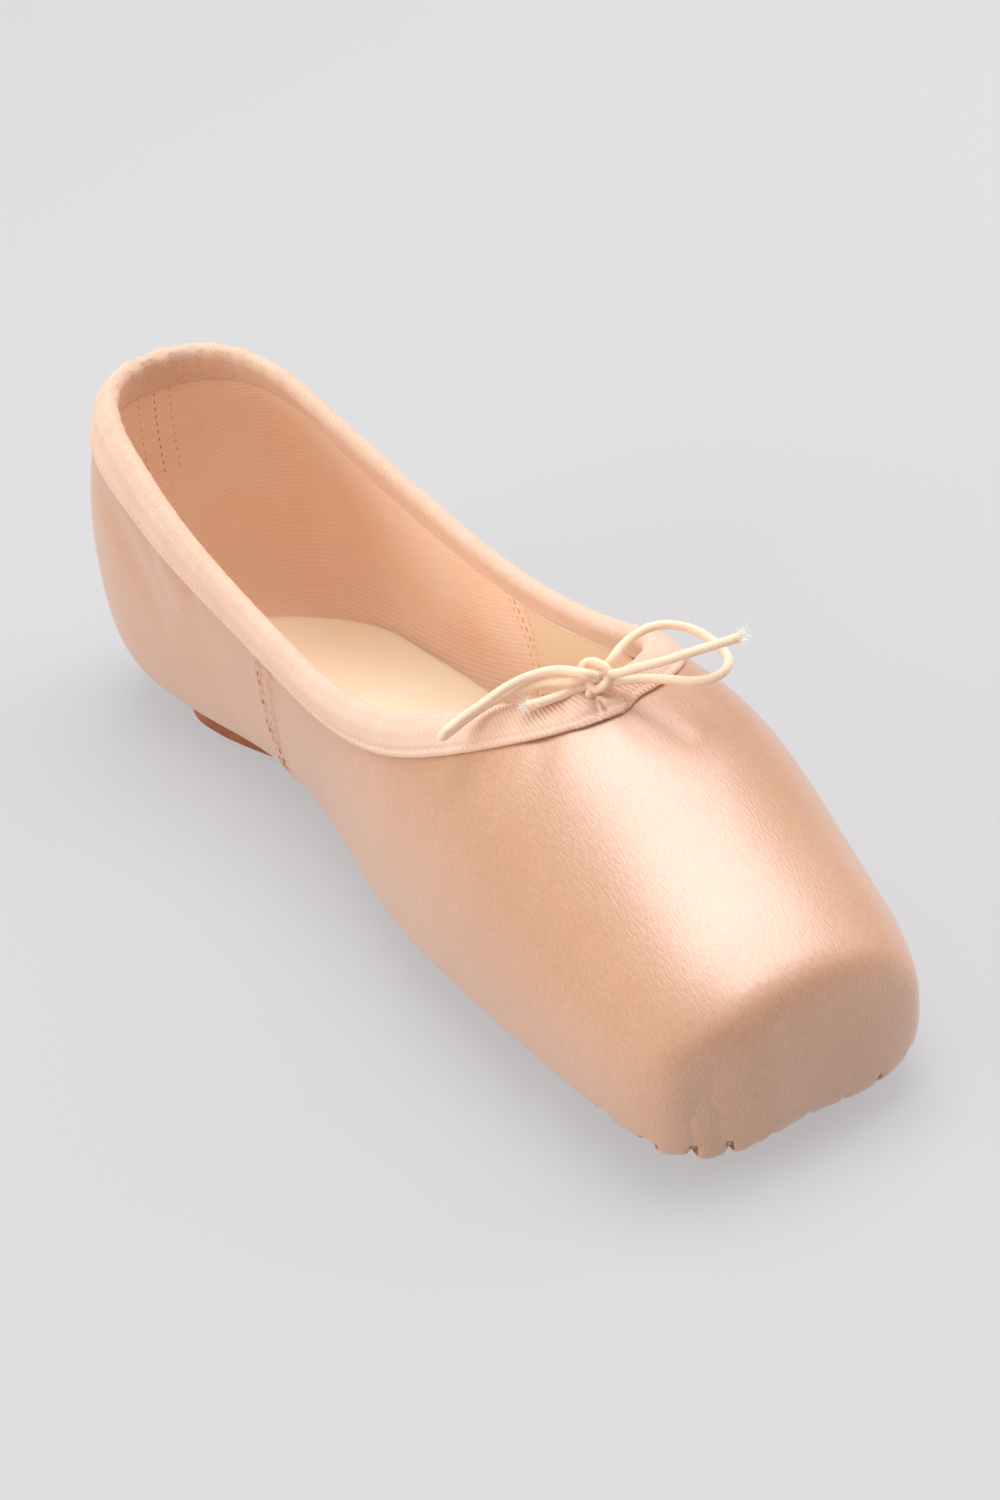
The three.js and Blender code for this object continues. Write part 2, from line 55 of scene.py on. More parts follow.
# The last, as in the part's source
LENGTH = 235.0
BALL_WIDTH = 68.0
INSTEP_HEIGHT = 56.0
HEEL_CAP = 35.0
TOE_CAP = 26.0
HEEL_ROUNDNESS = 2.25
PLATFORM_SQUARENESS = 4.5
HEEL_HEIGHT = 69.0
SIDE_HEIGHT = 40.4
VAMP_LENGTH = 65.0
THROAT_RISE = 72.0
THROAT_ROUNDNESS = 2.35
WALL = 1.5
BOX_WALL = 2.4
TAPE = 0.8
CORD = 1.6
SOLE = 2.6
INSOLE = 2.2
LABEL = 0.5
GAP = 0.3
SOLE_HEEL_SETBACK = 19.0
SOLE_TOE_SETBACK = 40.0
SOLE_WIDTH = 52.0
HEM_WIDTH = 9.0
INSOLE_SETBACK = 20.0
INSOLE_REACH = 24.0
INSOLE_BACK_SHARE = 0.82
INSOLE_FRONT_SHARE = 0.64
CASING_OUTSIDE = 5.8
CASING_INSIDE = 4.2
CASING_HEEL_EXTRA = 3.8
LABEL_BACK = -15.0
LABEL_LENGTH = 36.0
LABEL_HEIGHT = 16.0
KNOT = 4.8
KNOT_FORWARD = 0.7
KNOT_ASIDE = 2.2
KNOT_FLATNESS = 0.8
END_ROUND = 22.0
SPREAD = 30.0

THROAT = LENGTH / 2 - VAMP_LENGTH
SOLE_BACK = -LENGTH / 2 + SOLE_HEEL_SETBACK
SOLE_FRONT = LENGTH / 2 - SOLE_TOE_SETBACK
SPINE_BACK = SOLE_BACK + HEM_WIDTH + END_ROUND
SPINE_FRONT = SOLE_FRONT - HEM_WIDTH - END_ROUND
INSOLE_BACK = -LENGTH / 2 + INSOLE_SETBACK
INSOLE_FRONT = THROAT + INSOLE_REACH

# Fineness of the meshes
AROUND = 640
TOE_CROWD = 0.55
DOWN = 108
LINE_SAMPLES = 160
LINE_TURN = 18.0
RIM_TURN = 60.0

SECTION_COLUMNS = ("at", "width", "crown", "girth", "base", "roof", "keel", "bow", "lean")
SECTIONS = (
    (0.00, 0.850, 1.60, 0.490, 1.60, 2.10, 2.5, -0.116, 0.000),
    (0.12, 0.830, 1.39, 0.450, 1.00, 2.05, 3.3, -0.076, -0.020),
    (0.20, 0.800, 1.34, 0.430, 1.00, 2.05, 3.5, -0.056, -0.020),
    (0.30, 0.770, 1.28, 0.400, 1.70, 2.10, 3.4, -0.026, -0.020),
    (0.45, 0.810, 1.15, 0.350, 2.15, 2.00, 3.3, -0.011, 0.000),
    (0.60, 0.950, 1.07, 0.300, 1.00, 1.90, 3.7, -0.011, 0.030),
    (0.74, 1.000, 0.97, 0.295, 1.00, 2.25, 3.8, -0.001, 0.040),
    (0.86, 0.910, 0.79, 0.295, 0.95, 2.20, 3.8, -0.031, 0.025),
    (1.00, 0.735, 0.59, 0.290, 0.80, 2.40, 3.6, -0.071, 0.000),
)
# The collar: place along the length and share of its rise.
COLLAR = ((0.00, 1.00), (0.07, 0.95), (0.20, 0.53), (0.34, 0.14), (0.50, 0.00), (1.00, 0.00))
# The outsole: place along it and share of half its width.
OUTLINE = ((0.00, 0.80), (0.15, 0.78), (0.30, 0.66), (0.48, 0.62), (0.80, 1.00), (1.00, 0.96))

# The drawstring's two loops and two ends, as in the part's source: forward, left and up from the knot.
LOOP_LEFT = (
    (0.9, 2.4, 2.6), (0.3, 4.5, 3.6), (0.0, 7.8, 4.6), (0.9, 11.0, 5.2), (2.6, 13.9, 4.8),
    (4.8, 16.3, 3.8), (7.7, 17.8, 2.6), (10.7, 18.5, 1.4), (13.2, 17.7, 0.6), (14.4, 15.0, 0.1),
    (12.9, 11.5, -0.1), (9.2, 8.7, -0.3), (5.4, 5.7, -0.5), (3.4, 3.0, -0.6), (2.6, 1.8, -0.6),
)
LOOP_RIGHT = (
    (2.2, -3.1, 2.6), (0.0, -4.4, 2.7), (-3.0, -5.9, 2.4), (-5.6, -8.8, 1.7), (-7.0, -13.1, 0.7),
    (-7.4, -17.9, -0.8), (-8.1, -22.1, -2.4), (-7.9, -25.1, -3.4), (-9.7, -23.9, -5.0),
    (-10.2, -20.1, -4.2), (-9.7, -16.1, -2.8), (-8.4, -12.8, -1.6), (-6.6, -10.0, -0.7),
    (-4.1, -7.0, 0.1), (-1.3, -5.0, 0.7), (0.0, -3.8, 0.9),
)
END_LEFT = (
    (3.4, 1.6, 1.3), (6.1, 3.5, 2.5), (9.9, 7.2, 4.0), (12.8, 12.0, 5.2), (15.0, 16.3, 6.0),
    (15.7, 18.2, 6.2),
)
END_RIGHT = (
    (-0.2, -2.6, -1.0), (-0.7, -4.3, -1.1), (-1.2, -7.1, -1.3), (-2.4, -10.4, -1.6),
    (-3.2, -11.7, -1.8),
)


# The last's functions, on arrays of points in millimetres

def natural(rows, column):
    """A natural cubic through one column of a table, as a function of an array."""
    at = np.array([row[0] for row in rows])
    value = np.array([row[column] for row in rows])
    step = np.diff(at)
    slope = np.diff(value) / step
    system = np.eye(len(at))
    right = np.zeros(len(at))
    for i in range(1, len(at) - 1):
        system[i, i - 1:i + 2] = step[i - 1], 2 * (step[i - 1] + step[i]), step[i]
        right[i] = 6 * (slope[i] - slope[i - 1])
    bend = np.linalg.solve(system, right)

    def curve(x):
        x = np.clip(x, at[0], at[-1])
        i = np.clip(np.searchsorted(at, x, side="right") - 1, 0, len(at) - 2)
        t = x - at[i]
        first = slope[i] - step[i] * (2 * bend[i] + bend[i + 1]) / 6
        return value[i] + t * (first + t * (bend[i] / 2 + t * (bend[i + 1] - bend[i]) / (6 * step[i])))

    return curve


COLUMN = {name: natural(SECTIONS, k) for k, name in enumerate(SECTION_COLUMNS) if k}
collar_share = natural(COLLAR, 1)
outline_share = natural(OUTLINE, 1)
SCALE = {
    "width": BALL_WIDTH / 2, "crown": INSTEP_HEIGHT, "girth": INSTEP_HEIGHT,
    "base": SOLE, "roof": 1.0, "keel": 1.0,
}


def section(x):
    """Half width, crown, girth, base, roof and keel at x."""
    at = x / LENGTH + 0.5
    return [COLUMN[name](at) * scale for name, scale in SCALE.items()]


def field(p):
    """How far points lie out of the last: 1 is on its surface."""
    x, y, z = p[..., 0], p[..., 1], p[..., 2]
    half, crown, girth, base, roof, keel = section(x)
    above = z >= girth
    power = np.where(above, roof, keel)
    rise = np.where(above, (z - girth) / (crown - girth), (girth - z) / (girth - base))
    across = (np.abs(y / half) ** power + np.abs(rise) ** power) ** (1 / power)
    front = x > 0
    cap = np.where(front, (x - LENGTH / 2) / TOE_CAP + 1, 1 - (x + LENGTH / 2) / HEEL_CAP)
    squareness = np.where(front, PLATFORM_SQUARENESS, HEEL_ROUNDNESS)
    return (across ** squareness + np.maximum(0, cap) ** squareness) ** (1 / squareness)


def gradient(p, h=0.05):
    slope = np.zeros_like(p)
    for axis in range(3):
        step = np.zeros(3)
        step[axis] = h
        slope[..., axis] = (field(p + step) - field(p - step)) / (2 * h)
    return slope


def unit(v):
    return v / np.maximum(np.linalg.norm(v, axis=-1, keepdims=True), 1e-12)


def normal_at(p):
    return unit(gradient(p))


def onto(p, rounds=3):
    """Points brought back to the last's surface."""
    for _ in range(rounds):
        slope = gradient(p)
        p = p + slope * ((1 - field(p)) / np.sum(slope * slope, axis=-1))[..., None]
    return p


def unfold(x, y):
    """Places in the flat layout, taken to the last's surface."""
    foot = np.clip(x, SPINE_BACK, SPINE_FRONT)
    reach = np.maximum(np.hypot(x - foot, y), 1e-9)
    polar = np.pi / 2 - reach / SPREAD
    ray = np.stack([(x - foot) * np.cos(polar) / reach, y * np.cos(polar) / reach, np.sin(polar)], -1)
    start = np.stack([foot, np.zeros_like(foot), section(foot)[2]], -1)
    inside = np.zeros_like(foot)
    outside = np.full_like(foot, LENGTH / 2)
    for _ in range(26):
        middle = (inside + outside) / 2
        within = field(start + ray * middle[..., None]) < 1
        inside = np.where(within, middle, inside)
        outside = np.where(within, outside, middle)
    return start + ray * inside[..., None]


def fold(p):
    """Points of the surface, taken to the flat layout."""
    foot = np.clip(p[..., 0], SPINE_BACK, SPINE_FRONT)
    out = np.maximum(np.hypot(p[..., 0] - foot, p[..., 1]), 1e-9)
    reach = SPREAD * (np.pi / 2 - np.arctan2(p[..., 2] - section(foot)[2], out))
    return np.stack([foot + reach * (p[..., 0] - foot) / out, reach * p[..., 1] / out], -1)


def ray_of(s):
    """The layout's rays as one family: 0 points back from the spine's back end, 1 to 2 go sideways along the
    spine, 3 points forward. Returns each ray's foot and its direction."""
    foot = SPINE_BACK + (SPINE_FRONT - SPINE_BACK) * np.clip(s - 1, 0, 1)
    turn = np.where(s < 1, np.pi * (1 - s / 2), np.where(s > 2, np.pi / 2 * (3 - s), np.pi / 2))
    return foot, np.cos(turn), np.sin(turn)


RAY_COUNT = 181
RAY_REACH = np.linspace(0, SPREAD * 2.75, 111)


def ray_lengths():
    """True lengths over the last along each ray, from the ridge outwards."""
    s = np.linspace(0, 3, RAY_COUNT)[:, None]
    foot, across, side = ray_of(s)
    places = unfold(foot + across * RAY_REACH, side * RAY_REACH)
    steps = np.linalg.norm(np.diff(places, axis=1), axis=-1)
    return np.concatenate([np.zeros((RAY_COUNT, 1)), np.cumsum(steps, axis=1)], axis=1)


def cloth_uv(p):
    """Where points of the surface lie in the cloth, with true lengths across it, in millimetres."""
    flat = fold(p)
    foot = np.clip(flat[..., 0], SPINE_BACK, SPINE_FRONT)
    reach = np.hypot(flat[..., 0] - foot, flat[..., 1])
    turn = np.arctan2(np.abs(flat[..., 1]), flat[..., 0] - foot)
    middle = 1 + (foot - SPINE_BACK) / (SPINE_FRONT - SPINE_BACK)
    s = np.where(foot >= SPINE_FRONT, 3 - 2 * turn / np.pi, middle)
    s = np.where(foot <= SPINE_BACK, 2 - 2 * turn / np.pi, s)
    row = np.clip(s / 3 * (RAY_COUNT - 1), 0, RAY_COUNT - 1.001)
    column = np.clip(reach / RAY_REACH[1], 0, len(RAY_REACH) - 1.001)
    i, j = row.astype(int), column.astype(int)
    a, b = row - i, column - j
    length = ((RAY_LENGTHS[i, j] * (1 - b) + RAY_LENGTHS[i, j + 1] * b) * (1 - a)
              + (RAY_LENGTHS[i + 1, j] * (1 - b) + RAY_LENGTHS[i + 1, j + 1] * b) * a)
    way = np.stack([flat[..., 0] - foot, flat[..., 1]], -1) / np.maximum(reach, 1e-9)[..., None]
    return np.stack([foot, np.zeros_like(foot)], -1) + way * length[..., None]


def sample(goal, places, values):
    """Rows of values, given at their places, taken at the goals between them."""
    return np.stack([np.interp(goal, places, column) for column in np.transpose(values)], -1)


def evenly(line, count, weight):
    """A line of points resampled evenly, closer where it turns by the weight given."""
    step = np.diff(line, axis=0)
    length = np.linalg.norm(step, axis=1)
    way = unit(step)
    turn = np.zeros(len(length))
    turn[:-1] = np.arccos(np.clip(np.sum(way[:-1] * way[1:], axis=1), -1, 1))
    run = np.concatenate([[0], np.cumsum(length + weight * turn)])
    goal = np.linspace(0, run[-1], count + 1)
    return sample(goal, run, line)


def cap_at(x):
    toe = np.clip((x - LENGTH / 2) / TOE_CAP + 1, 0, 1)
    heel = np.clip(1 - (x + LENGTH / 2) / HEEL_CAP, 0, 1)
    left = (1 - toe ** PLATFORM_SQUARENESS) ** (1 / PLATFORM_SQUARENESS)
    return left * (1 - heel ** HEEL_ROUNDNESS) ** (1 / HEEL_ROUNDNESS)


def half_at(x, z):
    half, crown, girth, _, roof, _ = section(x)
    rise = np.clip((z - girth) / (crown - girth), 0, None)
    return half * np.maximum(cap_at(x) ** roof - rise ** roof, 0) ** (1 / roof)


def top_at(x, y):
    half, crown, girth, _, roof, _ = section(x)
    left = np.maximum(cap_at(x) ** roof - np.abs(y / half) ** roof, 0)
    return girth + (crown - girth) * left ** (1 / roof)


def under_at(x, y):
    half, _, girth, base, _, keel = section(x)
    left = np.maximum(cap_at(x) ** keel - np.abs(y / half) ** keel, 0)
    return girth - (girth - base) * left ** (1 / keel)


def rounded(x, back, front, back_round, front_round):
    """1 along a plate, falling to 0 in a round at both ends."""
    from_back = np.clip((x - back) / back_round, 0, 1)
    from_front = np.clip((front - x) / front_round, 0, 1)
    return np.sqrt((1 - (1 - from_back) ** 2) * (1 - (1 - from_front) ** 2))


def insole_half(x):
    forward = (x - INSOLE_BACK) / (INSOLE_FRONT - INSOLE_BACK)
    share = INSOLE_BACK_SHARE + (INSOLE_FRONT_SHARE - INSOLE_BACK_SHARE) * forward
    return section(x)[0] * share * rounded(x, INSOLE_BACK, INSOLE_FRONT, HEEL_CAP, END_ROUND)


def sole_half(x, inset):
    full = outline_share((x - SOLE_BACK) / (SOLE_FRONT - SOLE_BACK)) * SOLE_WIDTH / 2 - inset
    return full * rounded(x, SOLE_BACK + inset, SOLE_FRONT - inset, END_ROUND, END_ROUND)


def collar_height(x):
    return SIDE_HEIGHT + (HEEL_HEIGHT - SIDE_HEIGHT) * collar_share(x / LENGTH + 0.5)


def collar_point(x):
    along = np.maximum(0, (x - THROAT) / THROAT_RISE + 1)
    side = half_at(x, collar_height(x))
    y = side * np.maximum(0, 1 - along ** THROAT_ROUNDNESS) ** (1 / THROAT_ROUNDNESS)
    return np.stack([x, y, np.where(along > 0, top_at(x, y), collar_height(x))], -1)


def hem_point(x):
    y = sole_half(x, HEM_WIDTH)
    return np.stack([x, y, under_at(x, y)], -1)


def border(holds, within, without):
    """The number nearest to one without at which a test still holds, from one within."""
    for _ in range(40):
        middle = (within + without) / 2
        if holds(np.array(middle)):
            within = middle
        else:
            without = middle
    return within


def heel_end():
    return border(lambda x: half_at(x, collar_height(x)) > 0, -LENGTH / 2 + HEEL_CAP, -LENGTH / 2)


def rim(front, back, point_of, around):
    """A whole rim from its front round the +Y side, the heel and the -Y side."""
    angle = np.linspace(0, np.pi, 4001)
    line = point_of(front - (front - back) * (1 - np.cos(angle)) / 2)
    line[0, 1] = line[-1, 1] = 0
    half = evenly(line, around // 2, RIM_TURN)
    return np.concatenate([half, half[-2:0:-1] * (1, -1, 1)])


def wall_at(x):
    return WALL + (BOX_WALL - WALL) * smooth(x, THROAT, LENGTH / 2 - TOE_CAP)


def inward(p, share, more=0.0):
    """Points moved into the wall by a share of its thickness and some more."""
    return p - normal_at(p) * (wall_at(p[..., 0]) * share + more)[..., None]


def slant(p):
    """The shoe's own slant: each section moves sideways, its top further."""
    at = p[..., 0] / LENGTH + 0.5
    _, crown, girth, _, _, _ = section(p[..., 0])
    rise = np.maximum(0, (p[..., 2] - girth) / (crown - girth))
    moved = p.copy()
    moved[..., 1] += BALL_WIDTH * (COLUMN["bow"](at) + COLUMN["lean"](at) * rise * rise)
    return moved


def smooth(t, low, high):
    """0 below low and 1 above high, with a soft passage between them."""
    t = np.clip((t - low) / (high - low), 0, 1)
    return t * t * (3 - 2 * t)


def hump(t, height, place, width):
    """A soft hump by its height, its place and its half width."""
    return height * np.exp(-((t - place) / width) ** 2)


RAY_LENGTHS = ray_lengths()
COLLAR_RIM = rim(THROAT, heel_end(), collar_point, AROUND)
HEM_RIM = rim(SOLE_FRONT - HEM_WIDTH, SOLE_BACK + HEM_WIDTH, hem_point, AROUND)
RIM_NORMAL = normal_at(COLLAR_RIM)
RIM_AWAY = unit(np.cross(np.roll(COLLAR_RIM, -1, 0) - np.roll(COLLAR_RIM, 1, 0), RIM_NORMAL))
RIM_RUN = np.concatenate([[0], np.cumsum(np.linalg.norm(np.diff(COLLAR_RIM, axis=0), axis=1))])


def descent(deepest, step=0.5):
    """From each station of the collar's edge down the upper's face: places and normals at even steps."""
    place, way = COLLAR_RIM, RIM_AWAY
    places = [place]
    for _ in range(int(math.ceil(deepest / step))):
        following = onto(place + way * step, 2)
        way = unit(following - place)
        place = following
        places.append(place)
    places = np.array(places)
    return places, normal_at(places), step


FACE, FACE_NORMAL, FACE_STEP = descent(34.0)


def from_edge(down, out):
    """For each station: the place a way down the face from the collar's edge, and out along its normal."""
    down = np.broadcast_to(down, (AROUND,)).astype(float)
    out = np.broadcast_to(out, (AROUND,))[:, None]
    row = np.clip(down / FACE_STEP, 0, len(FACE) - 1.001)
    low = row.astype(int)
    share = (row - low)[:, None]
    each = np.arange(AROUND)
    place = FACE[low, each] * (1 - share) + FACE[low + 1, each] * share
    normal = unit(FACE_NORMAL[low, each] * (1 - share) + FACE_NORMAL[low + 1, each] * share)
    return place + normal * out + RIM_AWAY * np.minimum(down, 0)[:, None]


def at_station(values, station):
    """A value between the stations of the collar."""
    low = int(math.floor(station))
    share = station - low
    return values[low % AROUND] * (1 - share) + values[(low + 1) % AROUND] * share


def station_of_run(run):
    """The collar's station a run along its edge from the throat's middle, the wearer's left counted up."""
    station = np.interp(abs(run), RIM_RUN, np.arange(AROUND))
    return station if run >= 0 else AROUND - station


def station_at(x):
    """The collar's station at x on the wearer's left."""
    half = COLLAR_RIM[:AROUND // 2 + 1, 0]
    return np.interp(-x, -half, np.arange(len(half)))


KNOT_PLACE = from_edge(KNOT_FORWARD, GAP + TAPE + GAP + KNOT * KNOT_FLATNESS / 2)[0] - (0, KNOT_ASIDE, 0)

# Runs along the collar from the throat's middle. The wearer's right, up to this reach, counts below 0.
RIGHT_REACH = 90.0
AWAY_FROM_THROAT = (RIM_RUN[:AROUND] + RIGHT_REACH) % RIM_RUN[-1] - RIGHT_REACH
# The tape is wider at the heel. Outside it is also wider at the throat, fading over one run to the left and
# another to the right, and inside round one place on the left.
THROAT_WIDER, THROAT_LEFT, THROAT_RIGHT = 1.5, 2.0, 26.0
INSIDE_WIDER, INSIDE_PLACE, INSIDE_FADE = 2.0, 38.0, 9.0
THROAT_FADE = np.where(AWAY_FROM_THROAT > 0, THROAT_LEFT, THROAT_RIGHT)
CASING_EXTRA = CASING_HEEL_EXTRA * np.maximum(0, collar_share(COLLAR_RIM[:, 0] / LENGTH + 0.5))
TAPE_OUTSIDE = CASING_OUTSIDE + CASING_EXTRA + hump(AWAY_FROM_THROAT, THROAT_WIDER, 0, THROAT_FADE)
TAPE_INSIDE = CASING_INSIDE + CASING_EXTRA + hump(AWAY_FROM_THROAT, INSIDE_WIDER, INSIDE_PLACE, INSIDE_FADE)
TAPE_END_WIDTH = CASING_OUTSIDE + THROAT_WIDER


def side_point(x, z, side):
    """The place on the last's side at x and height z."""
    y = border(lambda y: field(np.array([x, y, z])) < 1, 0.0, BALL_WIDTH)
    return np.array([x, side * y, z])


def side_line(ends, side, count=40):
    """A line over the last's side between places given by x and z."""
    rows = sample(np.linspace(0, len(ends) - 1, count), np.arange(len(ends)), ends)
    return np.array([side_point(x, z, side) for x, z in rows])


# Making Blender objects

def rides(piece, slot_name, *nodes):
    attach(piece, "root")
    if nodes:
        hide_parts(*nodes)


def mesh_piece(name, points, faces, materials, face_slots=None, uv=None):
    """A mesh from points in millimetres, already slanted, and its faces."""
    mesh = bpy.data.meshes.new(name)
    points = np.asarray(points, dtype=float).reshape(-1, 3)
    mesh.from_pydata((points * MM).tolist(), [], [[int(i) for i in face] for face in faces])
    for material in materials:
        mesh.materials.append(material)
    if face_slots is not None:
        mesh.polygons.foreach_set("material_index", np.asarray(face_slots, dtype=np.int32))
    mesh.polygons.foreach_set("use_smooth", np.ones(len(mesh.polygons), dtype=bool))
    if uv is not None:
        layer = mesh.uv_layers.new(name="cloth")
        corner = np.zeros(len(mesh.loops), dtype=np.int32)
        mesh.loops.foreach_get("vertex_index", corner)
        layer.data.foreach_set("uv", np.asarray(uv, dtype=np.float32).reshape(-1, 2)[corner].ravel())
    mesh.update()
    piece = bpy.data.objects.new(name, mesh)
    bpy.context.scene.collection.objects.link(piece)
    return piece


def ring_faces(rings, across, closed_rings=True):
    """Quads between neighbouring rings of points. Closed rings also join the last one to the first."""
    i = np.arange(rings if closed_rings else rings - 1)[:, None]
    j = np.arange(across)[None, :]
    here, following, side = i * across, (i + 1) % rings * across, (j + 1) % across
    return np.stack([here + j, here + side, following + side, following + j], -1).reshape(-1, 4)


def bar_faces(rings, across):
    """Quads between neighbouring rings, with a face over the first ring and one over the last."""
    first, last = list(range(across)), list(range((rings - 1) * across, rings * across))
    return ring_faces(rings, across, closed_rings=False).tolist() + [first[::-1], last]


# Materials

# The cloth's coordinates count in units of this many millimetres.
CLOTH_UNIT = 10.0
# The wave texture's pitch at scale 1
WAVE_PITCH = math.pi / 10


def linear(code):
    """A colour written as a hex code, as linear light."""
    shares = [((code >> shift) & 255) / 255 for shift in (16, 8, 0)]
    return tuple(s / 12.92 if s <= 0.04045 else ((s + 0.055) / 1.055) ** 2.4 for s in shares)


class Paint:
    """A small helper that builds one procedural material."""

    def __init__(self, name, roughness, **sockets):
        self.material = bpy.data.materials.new(name)
        self.material.use_nodes = True
        self.tree = self.material.node_tree
        self.shader = self.tree.nodes["Principled BSDF"]
        self.bump = None
        for socket, value in {"Roughness": roughness, **sockets}.items():
            self.put(self.shader.inputs[socket.replace("_", " ")], value)

    def put(self, socket, value):
        """Links a socket to another one or sets its value, a colour by three shares."""
        if isinstance(value, bpy.types.NodeSocket):
            self.tree.links.new(value, socket)
        else:
            socket.default_value = (*value, 1.0) if socket.type == "RGBA" else value

    def node(self, kind, sockets=None, **settings):
        node = self.tree.nodes.new("ShaderNode" + kind)
        for key, value in settings.items():
            setattr(node, key, value)
        for key, value in (sockets or {}).items():
            self.put(node.inputs[key], value)
        return node

    def cloth(self, angle=0.0, scale=(1.0, 1.0, 1.0)):
        """Cloth coordinates, turned by an angle in degrees."""
        uv = self.node("UVMap", uv_map="cloth").outputs["UV"]
        sockets = {"Vector": uv, "Rotation": (0, 0, math.radians(angle)), "Scale": scale}
        return self.node("Mapping", sockets).outputs["Vector"]

    def space(self):
        return self.node("TexCoord").outputs["Object"]

    def ribs(self, angle, pitch, wobble):
        """Parallel ribs of the cloth, their pitch in millimetres."""
        sockets = {"Vector": self.cloth(angle), "Scale": WAVE_PITCH * CLOTH_UNIT / pitch,
                   "Distortion": wobble, "Detail": 2.0, "Detail Scale": 1.5}
        return self.node("TexWave", sockets, wave_type="BANDS", bands_direction="X").outputs["Fac"]

    def noise(self, vector, size, detail=4.0, roughness=0.55):
        """Noise whose blotches are about size across, in the vector's own unit."""
        sockets = {"Vector": vector, "Scale": 1 / size, "Detail": detail, "Roughness": roughness}
        return self.node("TexNoise", sockets).outputs["Fac"]

    def strokes(self, angle, length, width):
        """Short floats of thread along one way of the cloth, sizes in millimetres."""
        scale = (CLOTH_UNIT / length, CLOTH_UNIT / width, 1.0)
        return self.noise(self.cloth(angle, scale), 1.0, 2.0, 0.6)

    def math(self, operation, a, b):
        return self.node("Math", {0: a, 1: b}, operation=operation).outputs[0]

    def ramp(self, fac, *stops):
        """A colour ramp: each stop is a place and a colour."""
        node = self.node("ValToRGB", {"Fac": fac})
        for element, (place, color) in zip(node.color_ramp.elements, stops):
            element.position = place
            element.color = (*color, 1.0)
        return node.outputs["Color"]

    def tone(self, fac, low, high, last=0.7):
        """A colour between two hex codes, the second from the factor's last value on."""
        return self.ramp(fac, (0.3, linear(low)), (last, linear(high)))

    def shaded(self, base, mask, share, shade):
        """The base colour with up to a share of the shade, a hex code, where the mask is high."""
        node = self.node("Mix", data_type="RGBA")
        sockets = {socket.identifier: socket for socket in (*node.inputs, *node.outputs)}
        self.put(sockets["Factor_Float"], self.math("MULTIPLY", mask, share))
        self.put(sockets["A_Color"], base)
        self.put(sockets["B_Color"], linear(shade))
        return sockets["Result_Color"]

    def color(self, source):
        self.put(self.shader.inputs["Base Color"], source)

    def rough(self, fac, low, high):
        node = self.node("MapRange", {"Value": fac, "To Min": low, "To Max": high})
        self.put(self.shader.inputs["Roughness"], node.outputs["Result"])

    def raise_by(self, height, millimetres):
        """Adds a bump whose full height is given in millimetres."""
        sockets = {"Height": height, "Strength": 1.0, "Distance": millimetres * MM}
        if self.bump is not None:
            sockets["Normal"] = self.bump
        self.bump = self.node("Bump", sockets).outputs["Normal"]
        self.put(self.shader.inputs["Normal"], self.bump)


def satin_paint():
    paint = Paint("peach_satin", 0.34, Specular_IOR_Level=1.0, Sheen_Weight=0.18, Sheen_Roughness=0.35,
                  Sheen_Tint=(1.0, 0.88, 0.82), Coat_Weight=0.75, Coat_Roughness=0.33, Coat_IOR=1.8)
    base = paint.tone(paint.noise(paint.space(), 0.03), 0xCE9A78, 0xD5A585)
    floats, across = paint.strokes(93, 1.7, 0.42), paint.strokes(3, 0.9, 0.36)
    weave = paint.math("ADD", paint.math("MULTIPLY", floats, 0.65), paint.math("MULTIPLY", across, 0.35))
    thread = paint.ramp(weave, (0.42, (1.0, 1.0, 1.0)), (0.62, (0.0, 0.0, 0.0)))
    paint.color(paint.shaded(base, thread, 0.32, 0xB87858))
    paint.rough(weave, 0.30, 0.46)
    paint.raise_by(weave, 0.21)
    paint.raise_by(paint.noise(paint.cloth(), 0.5, 3.0), 0.05)
    paint.raise_by(paint.noise(paint.cloth(), 1.6, 3.0), 0.12)
    return paint.material


def tape_paint():
    paint = Paint("ribbed_tape", 0.82, Sheen_Weight=0.35, Sheen_Roughness=0.5, Sheen_Tint=(1.0, 0.94, 0.90))
    rib = paint.ribs(22, 0.62, 1.6)
    base = paint.tone(paint.noise(paint.cloth(), 0.8), 0xF1C8AF, 0xF5D3BF, 0.75)
    paint.color(paint.shaded(base, rib, 0.30, 0xE0A482))
    paint.raise_by(rib, 0.14)
    paint.raise_by(paint.strokes(22, 0.5, 1.3), 0.06)
    return paint.material


def lining_paint():
    paint = Paint("ribbed_lining", 0.85, Sheen_Weight=0.25, Sheen_Roughness=0.5)
    rib = paint.ribs(66, 0.95, 0.9)
    base = paint.tone(paint.noise(paint.space(), 0.02), 0xFFDABE, 0xFFE8D6, 0.75)
    paint.color(paint.shaded(base, rib, 0.30, 0xF4BE99))
    paint.raise_by(rib, 0.08)
    paint.raise_by(paint.strokes(66, 0.6, 1.6), 0.06)
    paint.raise_by(paint.noise(paint.cloth(), 1.8, 2.0), 0.7)
    return paint.material


def board_paint():
    paint = Paint("insole_board", 0.7, Sheen_Weight=0.15)
    base = paint.tone(paint.noise(paint.space(), 0.012), 0xFFEFD2, 0xFFF4E0, 0.75)
    fleck = paint.noise(paint.space(), 0.0012)
    paint.color(paint.shaded(base, fleck, 0.12, 0xDDB88A))
    paint.raise_by(fleck, 0.05)
    paint.raise_by(paint.noise(paint.space(), 0.012, 2.0), 0.5)
    return paint.material


